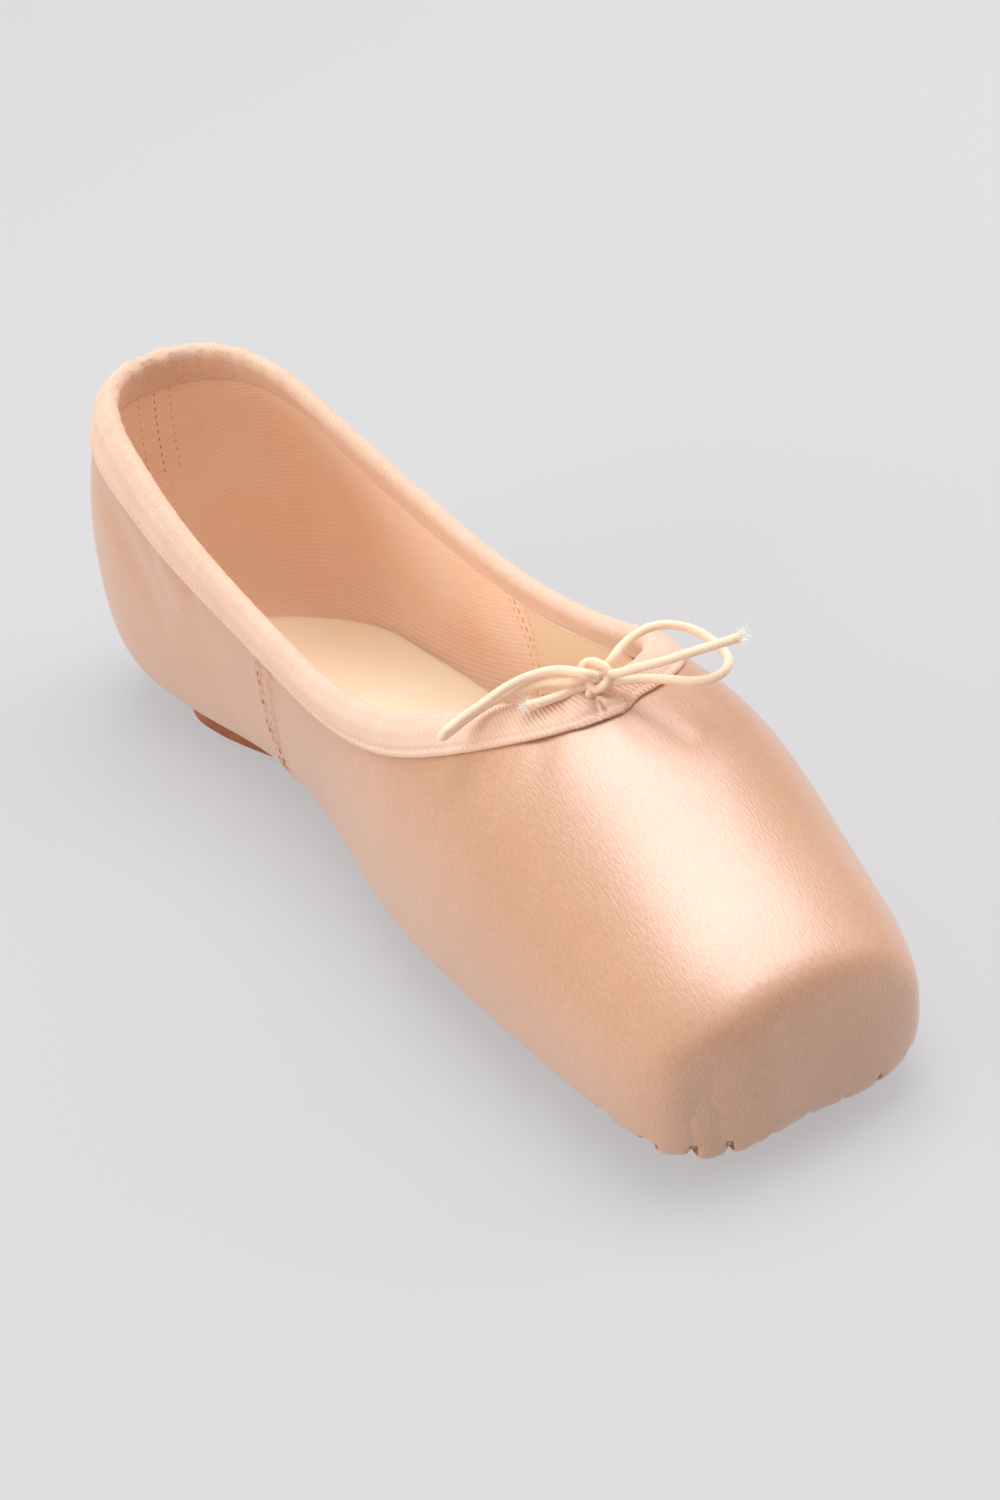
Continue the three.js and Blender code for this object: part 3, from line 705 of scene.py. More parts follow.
def leather_paint():
    paint = Paint("sole_leather", 0.62)
    grain = paint.noise(paint.space(), 0.0009, 6.0)
    base = paint.tone(paint.noise(paint.space(), 0.006), 0x9A4E2A, 0xB56A40)
    paint.color(paint.shaded(base, grain, 0.6, 0x5E2C17))
    paint.raise_by(grain, 0.25)
    return paint.material


def label_paint():
    paint = Paint("label_cloth", 0.85, Sheen_Weight=0.2)
    rib = paint.ribs(0, 0.45, 0.4)
    paint.color(paint.shaded(linear(0xF6DCC0), rib, 0.25, 0xE2C09C))
    paint.raise_by(rib, 0.03)
    paint.raise_by(paint.ribs(90, 0.45, 0.4), 0.03)
    return paint.material


def cord_paint():
    paint = Paint("braided_elastic", 0.62, Sheen_Weight=0.3, Sheen_Roughness=0.4)
    braid = paint.noise(paint.space(), 0.0004, 1.0)
    paint.color(paint.tone(braid, 0xFAD6B6, 0xFDE2CA))
    paint.raise_by(braid, 0.03)
    return paint.material


def glowing_tuft_paint():
    # The hairs glow faintly: painted light that keeps the thin hairs pale.
    paint = Paint("frayed_thread_painted_glow", 0.8, Sheen_Weight=0.4, Emission_Color=(1.0, 0.98, 0.95),
                  Emission_Strength=0.07)
    paint.color(linear(0xFFF8EE))
    return paint.material


def thread_paint(name, code):
    paint = Paint(name, 0.6, Sheen_Weight=0.2)
    paint.color(linear(code))
    paint.raise_by(paint.noise(paint.space(), 0.0003, 2.0), 0.03)
    return paint.material


# The camera

def make_camera():
    azimuth, elevation, roll = (math.radians(a) for a in (AZIMUTH, ELEVATION, ROLL))
    level = Vector((math.cos(azimuth), math.sin(azimuth), 0))
    toward = Vector((math.cos(elevation) * math.sin(azimuth), -math.cos(elevation) * math.cos(azimuth),
                     math.sin(elevation)))
    upright = toward.cross(level)
    right = math.cos(roll) * level + math.sin(roll) * upright
    up = toward.cross(right)
    camera = bpy.data.objects.new("camera", bpy.data.cameras.new("camera"))
    camera.data.lens = LENS
    camera.data.sensor_width = 36.0
    camera.data.clip_start = 0.01
    place = (Vector(AIM) + DISTANCE * toward) * MM
    camera.matrix_world = Matrix.Translation(place) @ Matrix((right, up, toward)).transposed().to_4x4()
    bpy.context.scene.collection.objects.link(camera)
    bpy.context.scene.camera = camera


# The drawstring

def cord_curve(name, points, material):
    """One open curve through points in millimetres given from the knot's middle."""
    route = slant(KNOT_PLACE + np.array(points, dtype=float))
    curve = bpy.data.curves.new(name, "CURVE")
    curve.dimensions = "3D"
    curve.resolution_u = 10
    curve.bevel_depth = CORD / 2 * MM
    curve.bevel_resolution = 4
    curve.use_fill_caps = True
    spline = curve.splines.new("BEZIER")
    spline.bezier_points.add(len(route) - 1)
    for point, place in zip(spline.bezier_points, route):
        point.co = Vector(place) * MM
        point.handle_left_type = point.handle_right_type = "AUTO"
    curve.materials.append(material)
    piece = bpy.data.objects.new(name, curve)
    bpy.context.scene.collection.objects.link(piece)
    return piece, route


# The hole of the casing, under the knot: its run along the collar from the throat's middle, and its depth
# below the collar's edge.
HOLE_RUN = -3.6
HOLE_DOWN = 2.5


def face_at(run, down, out):
    """A place on the upper's outside by its run along the collar, its depth below the edge and its height."""
    return at_station(from_edge(down, out), station_of_run(run))


HOLE = face_at(HOLE_RUN, HOLE_DOWN, GAP + TAPE)


def drawstring(material):
    """Two cords out of the casing's hole: each goes through the knot, makes a loop and ends in a free end."""
    hole = HOLE - KNOT_PLACE
    left = [hole + (-0.2, 0.6, -0.7), hole + (0.1, 0.7, 0.2), (-0.4, 0.6, -0.6), (0.2, 1.0, 0.9),
            *LOOP_LEFT, (1.0, 0.2, -0.4), (0.6, -0.3, 0.5), (1.6, 0.5, 0.9), *END_LEFT]
    right = [hole + (-0.2, -0.6, -0.7), hole + (0.1, -0.7, 0.2), (0.3, -0.6, -0.6), (1.2, -1.2, 1.0),
             *LOOP_RIGHT, (0.2, -1.6, 0.3), (0.5, -0.6, -0.3), (0.2, -1.4, -0.7), *END_RIGHT]
    pieces = []
    for name, points in (("left", left), ("right", right)):
        piece, route = cord_curve(f"drawstring_{name}", points, material)
        rides(piece, "cord", f"drawstring_loop_{name}", f"drawstring_end_{name}")
        pieces.append((piece, route))
    return pieces


# The wrap of the knot: forward, left and up from its middle.
KNOT_WRAP = (
    (1.2, 0.6, -1.1), (0.2, -1.2, -1.0), (-0.6, -2.0, 0.2), (-1.3, -2.2, 1.4), (-1.5, -1.4, 2.3),
    (-0.8, -0.5, 2.6), (0.4, 0.2, 2.4), (1.5, 0.7, 1.9), (2.2, 0.8, 0.8), (2.3, 0.2, -0.4),
    (1.9, -0.7, -1.1), (1.1, -1.4, -1.1), (0.4, -1.6, -0.3), (0.0, -1.0, 0.5),
)


def knot(material):
    """The wrap that ties the strands."""
    piece, _ = cord_curve("drawstring_knot_wrap", KNOT_WRAP, material)
    rides(piece, "cord", "drawstring_knot")
    return piece


# The hairs at each of the cord's tips, and half the thickness of one at its root, in millimetres.
HAIRS = 90
HAIR = 0.06


def tufts(material):
    """The frayed threads at the two tips, one joined mesh of thin bent hairs."""
    chance = np.random.default_rng(11)
    points, faces = [], []
    for rows in (END_LEFT, END_RIGHT):
        tip, before = KNOT_PLACE + np.array(rows[-1]), KNOT_PLACE + np.array(rows[-2])
        ahead = unit(tip - before)
        for _ in range(HAIRS):
            aside = chance.normal(size=3)
            way = unit(ahead * chance.uniform(0.2, 1.0) + aside * 0.62)
            start = tip - ahead * 0.3 + aside * 0.22
            curl = chance.normal(size=3) * 0.35
            length = chance.uniform(0.7, 2.1)
            side = unit(np.cross(way, (0.3, 0.2, 1.0)))
            other = np.cross(way, side)
            base = len(points)
            for k in range(4):
                t = k / 3
                middle = start + way * length * t + curl * t * t
                thick = HAIR * (1 - 0.7 * t)
                points += [middle + way_out * thick for way_out in (side, other, -0.7 * (side + other))]
            for k in range(3):
                for j in range(3):
                    a, b = base + 3 * k + j, base + 3 * k + (j + 1) % 3
                    faces.append([a, b, b + 3, a + 3])
            faces += [[base + 2, base + 1, base], [base + 9, base + 10, base + 11]]
    rides(mesh_piece("frayed_tips", slant(np.array(points)), faces, [material]), "cord")


# The upper

# Pleats under the toe: the angle round the front of the spine, in degrees, how far the fold runs up the
# side, and its depth in millimetres.
PLEATS = (
    (-57.0, 7.0, 0.9), (-47.5, 8.0, 1.1), (-38.5, 10.0, 1.4), (-30.1, 11.0, 3.2), (-23.3, 12.0, 3.4),
    (-17.8, 12.0, 1.9), (-12.6, 9.0, 1.6), (-6.8, 4.0, 1.0), (-0.8, 3.0, 0.9), (5.0, 3.0, 0.9),
    (10.6, 5.0, 1.2), (16.4, 8.0, 1.6), (22.6, 10.0, 1.7), (29.2, 10.0, 1.6), (36.5, 9.0, 1.3),
    (45.0, 8.0, 1.1), (54.5, 7.0, 0.9),
)
# Pleats begin this far ahead of the spine's front end and fade under the toe between two distances from it.
PLEATS_AHEAD = 4.0
PLEATS_FADE = (33.0, 25.0)
# The notch at a pleat's foot: its share of the depth, its half width, and the height where it ends and fades.
NOTCH, NOTCH_WIDTH, NOTCH_TOP, NOTCH_FADE = 0.65, 0.62, 5.6, 1.4
# The line above the notch: its depth and half width.
FOLD_LINE, FOLD_WIDTH = 0.14, 0.8
# The puff beside it: its share of the depth, its place and its half width.
PUFF, PUFF_ASIDE, PUFF_WIDTH = 0.30, 2.3, 1.7
# The hollow at the foot of the toe: its depth, its place and half width in degrees, and its half height.
TOE_HOLLOW, HOLLOW_ANGLE, HOLLOW_WIDTH, HOLLOW_HEIGHT = 2.4, -2.5, 8.0, 4.0
# The ridge round the platform: its height, the share of it low down, and the heights between which it grows.
RIDGE, RIDGE_LOW, RIDGE_GROWS = 0.8, 0.35, (9.0, 20.0)
# The crease between the platform and the near side: its place across the toe, height and half width, how far
# the side beyond it is drawn in, and the heights between which both grow.
CORNER, CORNER_RIDGE, CORNER_WIDTH, CORNER_SOFTENING = -0.34, 0.5, 0.17, 3.2
CORNER_GROWS = (2.0, 9.0)
# The puff beside a seam and the groove on it: height, distance from the seam and half width.
SEAM_PUFF = (0.30, 1.5, 0.9)
SEAM_GROOVE = (-0.35, 0.0, 0.45)

# Soft creases in the quarters: two ends in the flat layout, half width and depth in millimetres.
CREASES = (
    ((-88, -16), (-72, -38), 3.2, -0.9),
    ((-76, -14), (-62, -32), 2.4, 0.6),
    ((-62, -13), (-57, -30), 2.2, -0.8),
    ((-50, -12), (-47, -26), 2.4, 0.5),
    ((-84, 16), (-70, 36), 3.0, -0.7),
    ((-66, 14), (-58, 32), 2.6, -0.5),
    ((48, -6), (60, -17), 2.4, -0.35),
    ((50, 5), (64, 13), 3.0, -0.25),
    ((56, 2), (72, 4), 3.4, -0.2),
)

# The side seams, by x and height, on the wearer's right (-1) and left (1)
SEAMS = (
    (((-32.2, 38.5), (-31.7, 35.0), (-30.4, 23.0), (-28.6, 15.0), (-27.0, 5.0)), -1),
    (((-21.5, 39.0), (-20.0, 34.0), (-18.0, 24.0), (-16.5, 14.0), (-15.5, 6.0)), 1),
)
SEAM_LINES = [side_line(ends, side) for ends, side in SEAMS]


def line_distance(flat, start, end):
    """Distance from a line piece, and the share along it."""
    start, end = np.array(start, float), np.array(end, float)
    way = end - start
    share = np.clip(np.sum((flat - start) * way, axis=-1) / np.sum(way * way), 0, 1)
    nearest = start + share[..., None] * way
    return np.linalg.norm(flat - nearest, axis=-1), share


def seam_distance(flat):
    """Distance from the nearest seam, the heel's back seam included."""
    away = np.where(flat[..., 0] < SPINE_BACK, np.abs(flat[..., 1]), 99.0)
    for line in SEAM_LINES:
        places = fold(line)[::3]
        for start, end in zip(places[:-1], places[1:]):
            away = np.minimum(away, line_distance(flat, start, end)[0])
    return away


def round_toe(p):
    """Where points lie round the toe: whether among the pleats, their angle in degrees and their distance
    from the spine's front end, and their height over the underside."""
    ahead = p[..., 0] - SPINE_FRONT
    angle = np.degrees(np.arctan2(p[..., 1], np.maximum(ahead, 1e-6)))
    return ahead > PLEATS_AHEAD, angle, np.hypot(ahead, p[..., 1]), p[..., 2] - section(p[..., 0])[3]


def relief(p):
    """How far the satin stands out of its plain form at points of the surface, in millimetres."""
    flat = fold(p)
    height = np.zeros(p.shape[:-1])
    for start, end, width, depth in CREASES:
        away, share = line_distance(flat, start, end)
        height += hump(away, depth, 0, width) * np.sin(np.pi * np.clip(share, 0.04, 0.96)) ** 0.5
    seam = seam_distance(flat)
    height += hump(seam, *SEAM_PUFF) + hump(seam, *SEAM_GROOVE)
    cap = np.maximum(0, (p[..., 0] - LENGTH / 2) / TOE_CAP + 1) ** PLATFORM_SQUARENESS
    grown = RIDGE_LOW + (1 - RIDGE_LOW) * smooth(p[..., 2], *RIDGE_GROWS)
    height += RIDGE * (4 * cap * (1 - np.minimum(cap, 1))) ** 3 * grown
    aside = p[..., 1] / section(p[..., 0])[0] - CORNER
    crease = hump(aside, CORNER_RIDGE, 0, CORNER_WIDTH) * smooth(cap, 0.55, 0.95)
    crease -= CORNER_SOFTENING * smooth(-aside, 0.0, 0.70) * smooth(cap, 0.05, 0.8)
    height += crease * smooth(p[..., 2], *CORNER_GROWS)
    front, angle, around, low = round_toe(p)
    height -= front * hump(angle, TOE_HOLLOW, HOLLOW_ANGLE, HOLLOW_WIDTH) * hump(low, 1, 0, HOLLOW_HEIGHT)
    strength = front * (1 - smooth(around, *PLEATS_FADE))
    for place, start, depth in PLEATS:
        side = np.radians(angle - place) * around
        foot = smooth(low, NOTCH_TOP + NOTCH_FADE, NOTCH_TOP - NOTCH_FADE)
        notch = foot * hump(side, NOTCH, 0, NOTCH_WIDTH)
        line = smooth(low, start, 1.0) * hump(side, FOLD_LINE, 0, FOLD_WIDTH)
        puff = smooth(low, start * 0.7, 0.5) * hump(side, PUFF, PUFF_ASIDE, PUFF_WIDTH)
        height += strength * ((puff - notch) * depth - line)
    return height


def in_pleats(p):
    """Whether points of the surface lie in the small hollow at the foot of a pleat deeper than 1 mm, where
    the painted shadow goes.
    """
    front, angle, around, low = round_toe(p)
    inside = np.zeros(p.shape[:-1], bool)
    for place, _, depth in PLEATS:
        side = np.radians(angle - place) * around
        inside |= (np.abs(side) < 0.50 * depth) & (low < NOTCH_TOP + 1.0) & front & (depth > 1.0)
    return inside


# The satin's thickness and the place of the lining's back, as shares of the wall, and the lining's swell on
# the inside of a seam: its height, place and half width in millimetres.
SATIN_SHARE = 0.55
LINING_SHARE = 0.6
INSIDE_SEAM = (0.35, 0.0, 1.2)


def upper():
    """The satin skin with its relief, and the lining inside it. The stations lie closer at the toe."""
    share = np.arange(AROUND) / AROUND
    station = (share - TOE_CROWD * np.sin(2 * np.pi * share) / (2 * np.pi)) * AROUND

    def at_stations(rim_points):
        closed = np.concatenate([rim_points, rim_points[:1]])
        return onto(sample(station, np.arange(AROUND + 1), closed))

    collar, hem = at_stations(COLLAR_RIM), at_stations(HEM_RIM)
    run = np.interp(station, np.arange(AROUND), RIM_RUN[:AROUND])
    start, end = fold(collar), fold(hem)
    t = np.linspace(0, 1, LINE_SAMPLES + 1)[None, :, None]
    flat = start[:, None, :] * (1 - t) + end[:, None, :] * t
    lines = unfold(flat[..., 0], flat[..., 1])
    lines[:, 0], lines[:, -1] = collar, hem
    outer = np.array([evenly(line, DOWN, LINE_TURN) for line in lines])
    coarse = outer[:, ::6]
    coarse_uv = cloth_uv(coarse)
    skin = outer + normal_at(outer) * relief(outer)[..., None]
    middle = inward(coarse, SATIN_SHARE)
    shell = np.concatenate([skin, middle[:, ::-1]], axis=1)
    uv = np.concatenate([cloth_uv(outer), coarse_uv[:, ::-1]], axis=1) / CLOTH_UNIT
    faces = ring_faces(AROUND, shell.shape[1])
    # Faces in the pleats' hollows get a dark brown painted shadow.
    shade = np.concatenate([in_pleats(outer), np.zeros(middle.shape[:2], bool)], axis=1).ravel()
    slots = shade[faces].sum(axis=1) >= 3
    satin = mesh_piece("upper_satin", slant(shell), faces, [SATIN, PAINTED_PLEAT_SHADOW], face_slots=slots, uv=uv)
    rides(satin, "satin", "upper")
    inner_grid = outer[:, ::2]
    inner = inward(inner_grid, 1.0, hump(seam_distance(fold(inner_grid)), *INSIDE_SEAM))
    shell = np.concatenate([inward(coarse, LINING_SHARE), inner[:, ::-1]], axis=1)
    steps = np.linalg.norm(np.diff(inner, axis=1), axis=-1)
    deep = np.concatenate([np.zeros((AROUND, 1)), np.cumsum(steps, 1)], 1)
    wall_uv = np.stack([np.broadcast_to(run[:, None], deep.shape), deep], -1)
    uv = np.concatenate([coarse_uv, wall_uv[:, ::-1]], axis=1) / CLOTH_UNIT
    faces = ring_faces(AROUND, shell.shape[1])
    rides(mesh_piece("upper_lining", slant(shell), faces, [LINING], uv=uv), "satin")


# The binding

# The roll of the tape over the rim: its radius, and the share of it on the tape's inner face.
TAPE_ROLL = WALL / 2 + GAP + TAPE
TAPE_ROLL_INSIDE = 1 - TAPE * 0.9 / TAPE_ROLL
# The swell over the cord: height, depth below the edge and half width. The groove of the stitches, by its
# distance from the tape's edge.
CORD_SWELL = (0.40, 1.8, 1.6)
STITCH_GROOVE = (-0.42, 1.1, 0.5)
# The tape's ripples: their height everywhere, at the heel and at the throat, with the half widths there.
RIPPLE, RIPPLE_HEEL, RIPPLE_THROAT = 0.07, (0.20, 26.0), (0.16, 12.0)


def binding_profile():
    """The tape's outer face from the inside edge over the rim to the outside edge. Each row has a share of
    the casing's width inside, a share of it outside, a depth of its own, and its way out."""
    rows = [(share, 0.0, 0.0, -WALL - GAP - TAPE) for share in np.linspace(1, 0.1, 12)]
    for angle in np.linspace(0, np.pi, 15):
        rows.append((0.0, 0.0, -TAPE_ROLL * math.sin(angle), -WALL / 2 - TAPE_ROLL * math.cos(angle)))
    rows += [(0.0, share, 0.0, GAP + TAPE) for share in np.linspace(0.08, 1, 26)]
    return rows


def pucker(p):
    """How far the tape stands out round the drawstring's hole, in millimetres."""
    away = p - HOLE
    distance = np.linalg.norm(away, axis=-1)
    turn = np.arctan2(away[..., 1], -away[..., 2] + 1e-9)
    rays = np.cos(5 * turn + 0.8 + 0.6 * np.sin(2 * turn))
    ring = hump(distance, -1.0, 0, 0.9) + hump(distance, 0.35, 1.5, 0.8)
    return ring + rays * hump(distance, 0.75, 2.6, 1.6)


def binding():
    """The tape: its outer face over the rim, then its inner face back again."""
    run = RIM_RUN[:AROUND]
    total = RIM_RUN[-1] + np.linalg.norm(COLLAR_RIM[0] - COLLAR_RIM[-1])
    turn = 2 * np.pi * run / total
    ripple = 0.5 * np.sin(67 * turn + 2 * np.sin(5 * turn)) + 0.35 * np.sin(101 * turn + 1.7)
    ripple += 0.3 * np.sin(41 * turn)
    heel, throat = RIPPLE_HEEL, RIPPLE_THROAT
    ripple *= (RIPPLE + hump(run, heel[0], total / 2, heel[1])
               + hump(np.minimum(run, total - run), throat[0], 0, throat[1]))
    rings, uv = [], []
    along = 0.0
    rows = binding_profile()
    for inner, outer, own, out in rows:
        down = TAPE_INSIDE * inner + TAPE_OUTSIDE * outer + own
        out = out + ripple * hump(np.maximum(down, 0), 1, 0, 4.5) * (1 if out > -WALL else -1)
        if outer > 0:
            to_edge = TAPE_OUTSIDE * (1 - outer)
            out = out + hump(down, *CORD_SWELL) + hump(to_edge, *STITCH_GROOVE) - hump(to_edge, 0.60, 0, 0.40)
            out = out + pucker(from_edge(down, out))
        place = from_edge(down, out)
        if rings:
            along += float(np.mean(np.linalg.norm(place - rings[-1], axis=-1)))
        rings.append(place)
        uv.append(np.stack([run, np.full(AROUND, along)], -1))
    for inner, outer, own, out in rows[::-2]:
        down = TAPE_INSIDE * inner + TAPE_OUTSIDE * outer + own
        if inner or outer:
            rings.append(from_edge(down, GAP * 0.4 if out > 0 else -WALL - GAP * 0.4))
        else:
            rings.append(from_edge(down * TAPE_ROLL_INSIDE, -WALL / 2 + (out + WALL / 2) * TAPE_ROLL_INSIDE))
        uv.append(np.stack([run, np.full(AROUND, along)], -1))
        along += 0.5
    rings, uv = np.array(rings).transpose(1, 0, 2), np.array(uv).transpose(1, 0, 2)
    closing = uv[:1] + (total, 0)
    rings, uv = np.concatenate([rings, rings[:1]]), np.concatenate([uv, closing]) / CLOTH_UNIT
    across = rings.shape[1]
    faces = ring_faces(AROUND + 1, across, closed_rings=False)[:, ::-1]
    # The faces along the tape's outer edge get an orange line: partly the satin's edge, partly painted shade
    # under the edge.
    edge = len(rows) - 1
    column = faces % across
    slots = (column == edge).any(axis=1) & (column == edge + 1).any(axis=1)
    materials = [TAPE_CLOTH, TAPE_EDGE_AND_PAINTED_SHADE]
    piece = mesh_piece("binding_tape", slant(rings), faces, materials, face_slots=slots, uv=uv)
    weld_seam(piece)
    rides(piece, "casing", "binding")


def weld_seam(piece):
    """Joins the doubled first and last stations; the cloth layer keeps both."""
    mesh = bmesh.new()
    mesh.from_mesh(piece.data)
    bmesh.ops.remove_doubles(mesh, verts=mesh.verts, dist=1e-7)
    mesh.to_mesh(piece.data)
    mesh.free()


# The run where the tape's end piece begins, and those by which it has risen and is no longer tucked in.
END_START, END_RISEN, END_FREE = -11.0, -4.0, -5.0


def tape_end():
    """The tape's rounded end, laid over its beginning beside the hole."""
    width = TAPE_END_WIDTH
    down = np.linspace(-0.6, width + 0.2, 34)
    share = np.linspace(0, 1, 48)
    end = 1.1 - 0.9 * ((width - down) / width) ** 2 - 1.6 * smooth(down, width - 1.4, width + 0.4) ** 2
    points, uv = [], []
    top_row = from_edge(0.0, GAP + TAPE)
    for last, level in zip(end, down):
        face = from_edge(level, GAP + TAPE)
        up = unit(from_edge(level, GAP + TAPE + 1.0) - face)
        for run in END_START + (last - END_START) * share:
            station = station_of_run(run)
            lift = hump(level, *CORD_SWELL) + hump(width - level, *STITCH_GROOVE)
            lift += 0.38 * smooth(run, END_START, END_RISEN) - 0.12
            lift -= hump(width + 0.2 - level, 0.70, 0, 0.6) + hump(last - run, 0.30, 0, 0.3)
            tuck = max(0.0, level - width + 0.5) * (1 - smooth(run, END_START, END_FREE))
            lift -= 0.4 * tuck
            back = tuck / width
            place = at_station(face, station) * (1 - back) + at_station(top_row, station) * back
            points.append(place + at_station(up, station) * (lift + pucker(place)))
            uv.append((run + 0.4, level * 1.05))
    grid = np.array(points)
    thickness = np.tile(np.linspace(0.1, 0.55, len(share)), len(down))
    low = grid - thickness[:, None] * normal_at(grid)
    shape = (len(down), len(share))
    rings = np.concatenate([grid.reshape(*shape, 3), low.reshape(*shape, 3)[:, ::-1]], axis=1)
    cloth = np.array(uv).reshape(*shape, 2)
    cloth = np.concatenate([cloth, cloth[:, ::-1]], axis=1) / CLOTH_UNIT
    faces = bar_faces(len(down), rings.shape[1])
    rides(mesh_piece("binding_tape_end", slant(rings), faces, [TAPE_CLOTH], uv=cloth), "casing")


# Plates

def plate(name, back, front, half_of, top_of, bottom_of, material, slot_name, nodes=(), edge=0.6,
          stations=150, lanes=36):
    """A plate between two heights with softened edges."""
    angle = np.linspace(0, np.pi, stations)
    x = back + (front - back) * (1 - np.cos(angle)) / 2
    half = half_of(x)
    half[0] = half[-1] = 0.02
    share = np.sin(np.linspace(-np.pi / 2, np.pi / 2, lanes))
    y = half[:, None] * share[None, :]
    x = np.broadcast_to(x[:, None], y.shape)
    top, bottom = top_of(x, y), bottom_of(x, y)
    to_rim = np.minimum(half[:, None] * (1 - np.abs(share)), np.minimum(x - back, front - x))
    ease = edge * (1 - np.clip(to_rim / (edge * 1.6), 0, 1)) ** 2
    upper_face = np.stack([x, y, top - ease], -1)
    lower_face = np.stack([x, y, bottom + ease], -1)
    rings = np.concatenate([lower_face, upper_face[:, ::-1]], axis=1)
    uv = np.concatenate([lower_face[..., :2], upper_face[:, ::-1, :2]], axis=1) / CLOTH_UNIT
    faces = [face[::-1] for face in bar_faces(stations, rings.shape[1])]
    rides(mesh_piece(name, slant(rings), faces, [material], uv=uv), slot_name, *nodes)


def outsole():
    def bottom(x, y):
        return np.maximum(0, section(x)[3] - SOLE)
    plate("sole_leather_piece", SOLE_BACK, SOLE_FRONT, lambda x: sole_half(x, 0),
          lambda x, y: under_at(x, y) - GAP, bottom, LEATHER, "leather", ("outsole",))


def insole():
    def floor(x, y):
        return under_at(x, y) + wall_at(x) + 2 * GAP
    plate("insole_board_piece", INSOLE_BACK, INSOLE_FRONT, insole_half, lambda x, y: floor(x, y) + INSOLE,
          floor, BOARD, "board", ("insole",), edge=0.9)
    inset = HEM_WIDTH + 2 * GAP
    plate("insole_filler", SOLE_BACK + inset, SOLE_FRONT - inset, lambda x: sole_half(x, inset),
          lambda x, y: floor(x, y) + INSOLE / 2, under_at, BOARD, "board", edge=0.2, stations=60, lanes=16)


# Stitches

# A stitch: places along it as shares of its length, with the thickness there as a share of its radius.
STITCH = ((-0.5, 0.25), (-0.42, 0.75), (-0.2, 1.0), (0.2, 1.0), (0.42, 0.75), (0.5, 0.25))
STITCH_SIDES = 6
SINK = 0.05
# The outside row lies this far out of its groove.
STITCH_LIFT = 0.06


def stitches(slot_name, name, line, normals, material, pitch=2.0, length=1.2, radius=0.11):
    """A row of small raised stitches along a line on a surface, joined in one mesh."""
    run = np.concatenate([[0], np.cumsum(np.linalg.norm(np.diff(line, axis=0), axis=1))])
    count = max(1, int(run[-1] / pitch))
    points, faces = [], []
    for centre in (np.arange(count) + 0.5) * run[-1] / count:
        base = len(points)
        way = unit(sample(centre + 0.3, run, line) - sample(centre - 0.3, run, line))
        up = unit(sample(centre, run, normals))
        side = unit(np.cross(way, up))
        for along, thick in STITCH:
            middle = sample(centre + along * length, run, line) - up * (SINK + radius * 0.9 * (1 - thick))
            for k in range(STITCH_SIDES):
                angle = 2 * np.pi * k / STITCH_SIDES
                points.append(middle + radius * thick * (math.cos(angle) * side + math.sin(angle) * up))
        faces += [[base + k for k in face] for face in bar_faces(len(STITCH), STITCH_SIDES)]
    rides(mesh_piece(name, slant(np.array(points)), faces, [material]), slot_name)


def rim_row(down, out):
    """A closed row at a depth below the collar's edge, with its normals."""
    places = from_edge(down, out)
    normals = unit(from_edge(down, out + np.sign(out)) - places)
    return np.concatenate([places, places[:1]]), np.concatenate([normals, normals[:1]])


def casing_stitches():
    sizes = {"pitch": 1.9, "length": 1.15, "radius": 0.16}
    groove_depth, groove_place, _ = STITCH_GROOVE
    row = rim_row(TAPE_OUTSIDE - groove_place, GAP + TAPE + groove_depth + STITCH_LIFT)
    stitches("casing", "casing_stitches_outside", *row, THREAD, **sizes)
    row = rim_row(TAPE_INSIDE - 1.0, -WALL - GAP - TAPE)
    stitches("casing", "casing_stitches_inside", *row, THREAD, **sizes)
    level = np.linspace(0.6, TAPE_END_WIDTH - 0.9, 24)
    runs = 0.1 - 0.9 * ((TAPE_END_WIDTH - level) / TAPE_END_WIDTH) ** 2
    line = np.array([face_at(run, down, GAP + TAPE + 0.30) for run, down in zip(runs, level)])
    sizes = {"pitch": 1.2, "length": 0.8, "radius": 0.12}
    stitches("casing", "tape_end_stitches", line, normal_at(line), THREAD, **sizes)


def beside(line, offset, out):
    """A line moved sideways over the last, then out of it, with its normals."""
    normals = normal_at(line)
    way = unit(np.gradient(line, axis=0))
    moved = onto(line + unit(np.cross(way, normals)) * offset)
    normals = normal_at(moved)
    if out < 0:
        return moved - normals * (wall_at(moved[:, 0])[:, None] - out), -normals
    return moved + normals * out, normals


def seam_stitches():
    for line, side in zip(SEAM_LINES, ("right", "left")):
        for offset, row in ((-0.95, "a"), (0.95, "b")):
            # The outside rows use the darker thread: painted shade on stitches in the seam's groove.
            stitches("satin", f"seam_{side}_{row}", *beside(line, offset, 0.16), THREAD_PAINTED_SHADE)
            inside = beside(line, offset, -0.22)
            stitches("satin", f"seam_{side}_inside_{row}", *inside, THREAD_TAN, length=1.3, radius=0.16)
    heel = FACE[:, AROUND // 2]
    line = heel[int((CASING_INSIDE + CASING_HEEL_EXTRA) / FACE_STEP) + 1:int(HEEL_SEAM_END / FACE_STEP)]
    for offset, out, row, thread in HEEL_ROWS:
        sizes = {"pitch": 1.9, "length": 1.1, "radius": 0.14}
        stitches("satin", f"heel_seam_inside_{row}", *beside(line, offset, out), thread, **sizes)
    line = heel[int((CASING_OUTSIDE + CASING_HEEL_EXTRA) / FACE_STEP) + 1:]
    for offset, row in ((-1.1, "a"), (1.1, "b")):
        stitches("satin", f"heel_seam_{row}", *beside(line, offset, 0.2), THREAD_TAN)


# The label

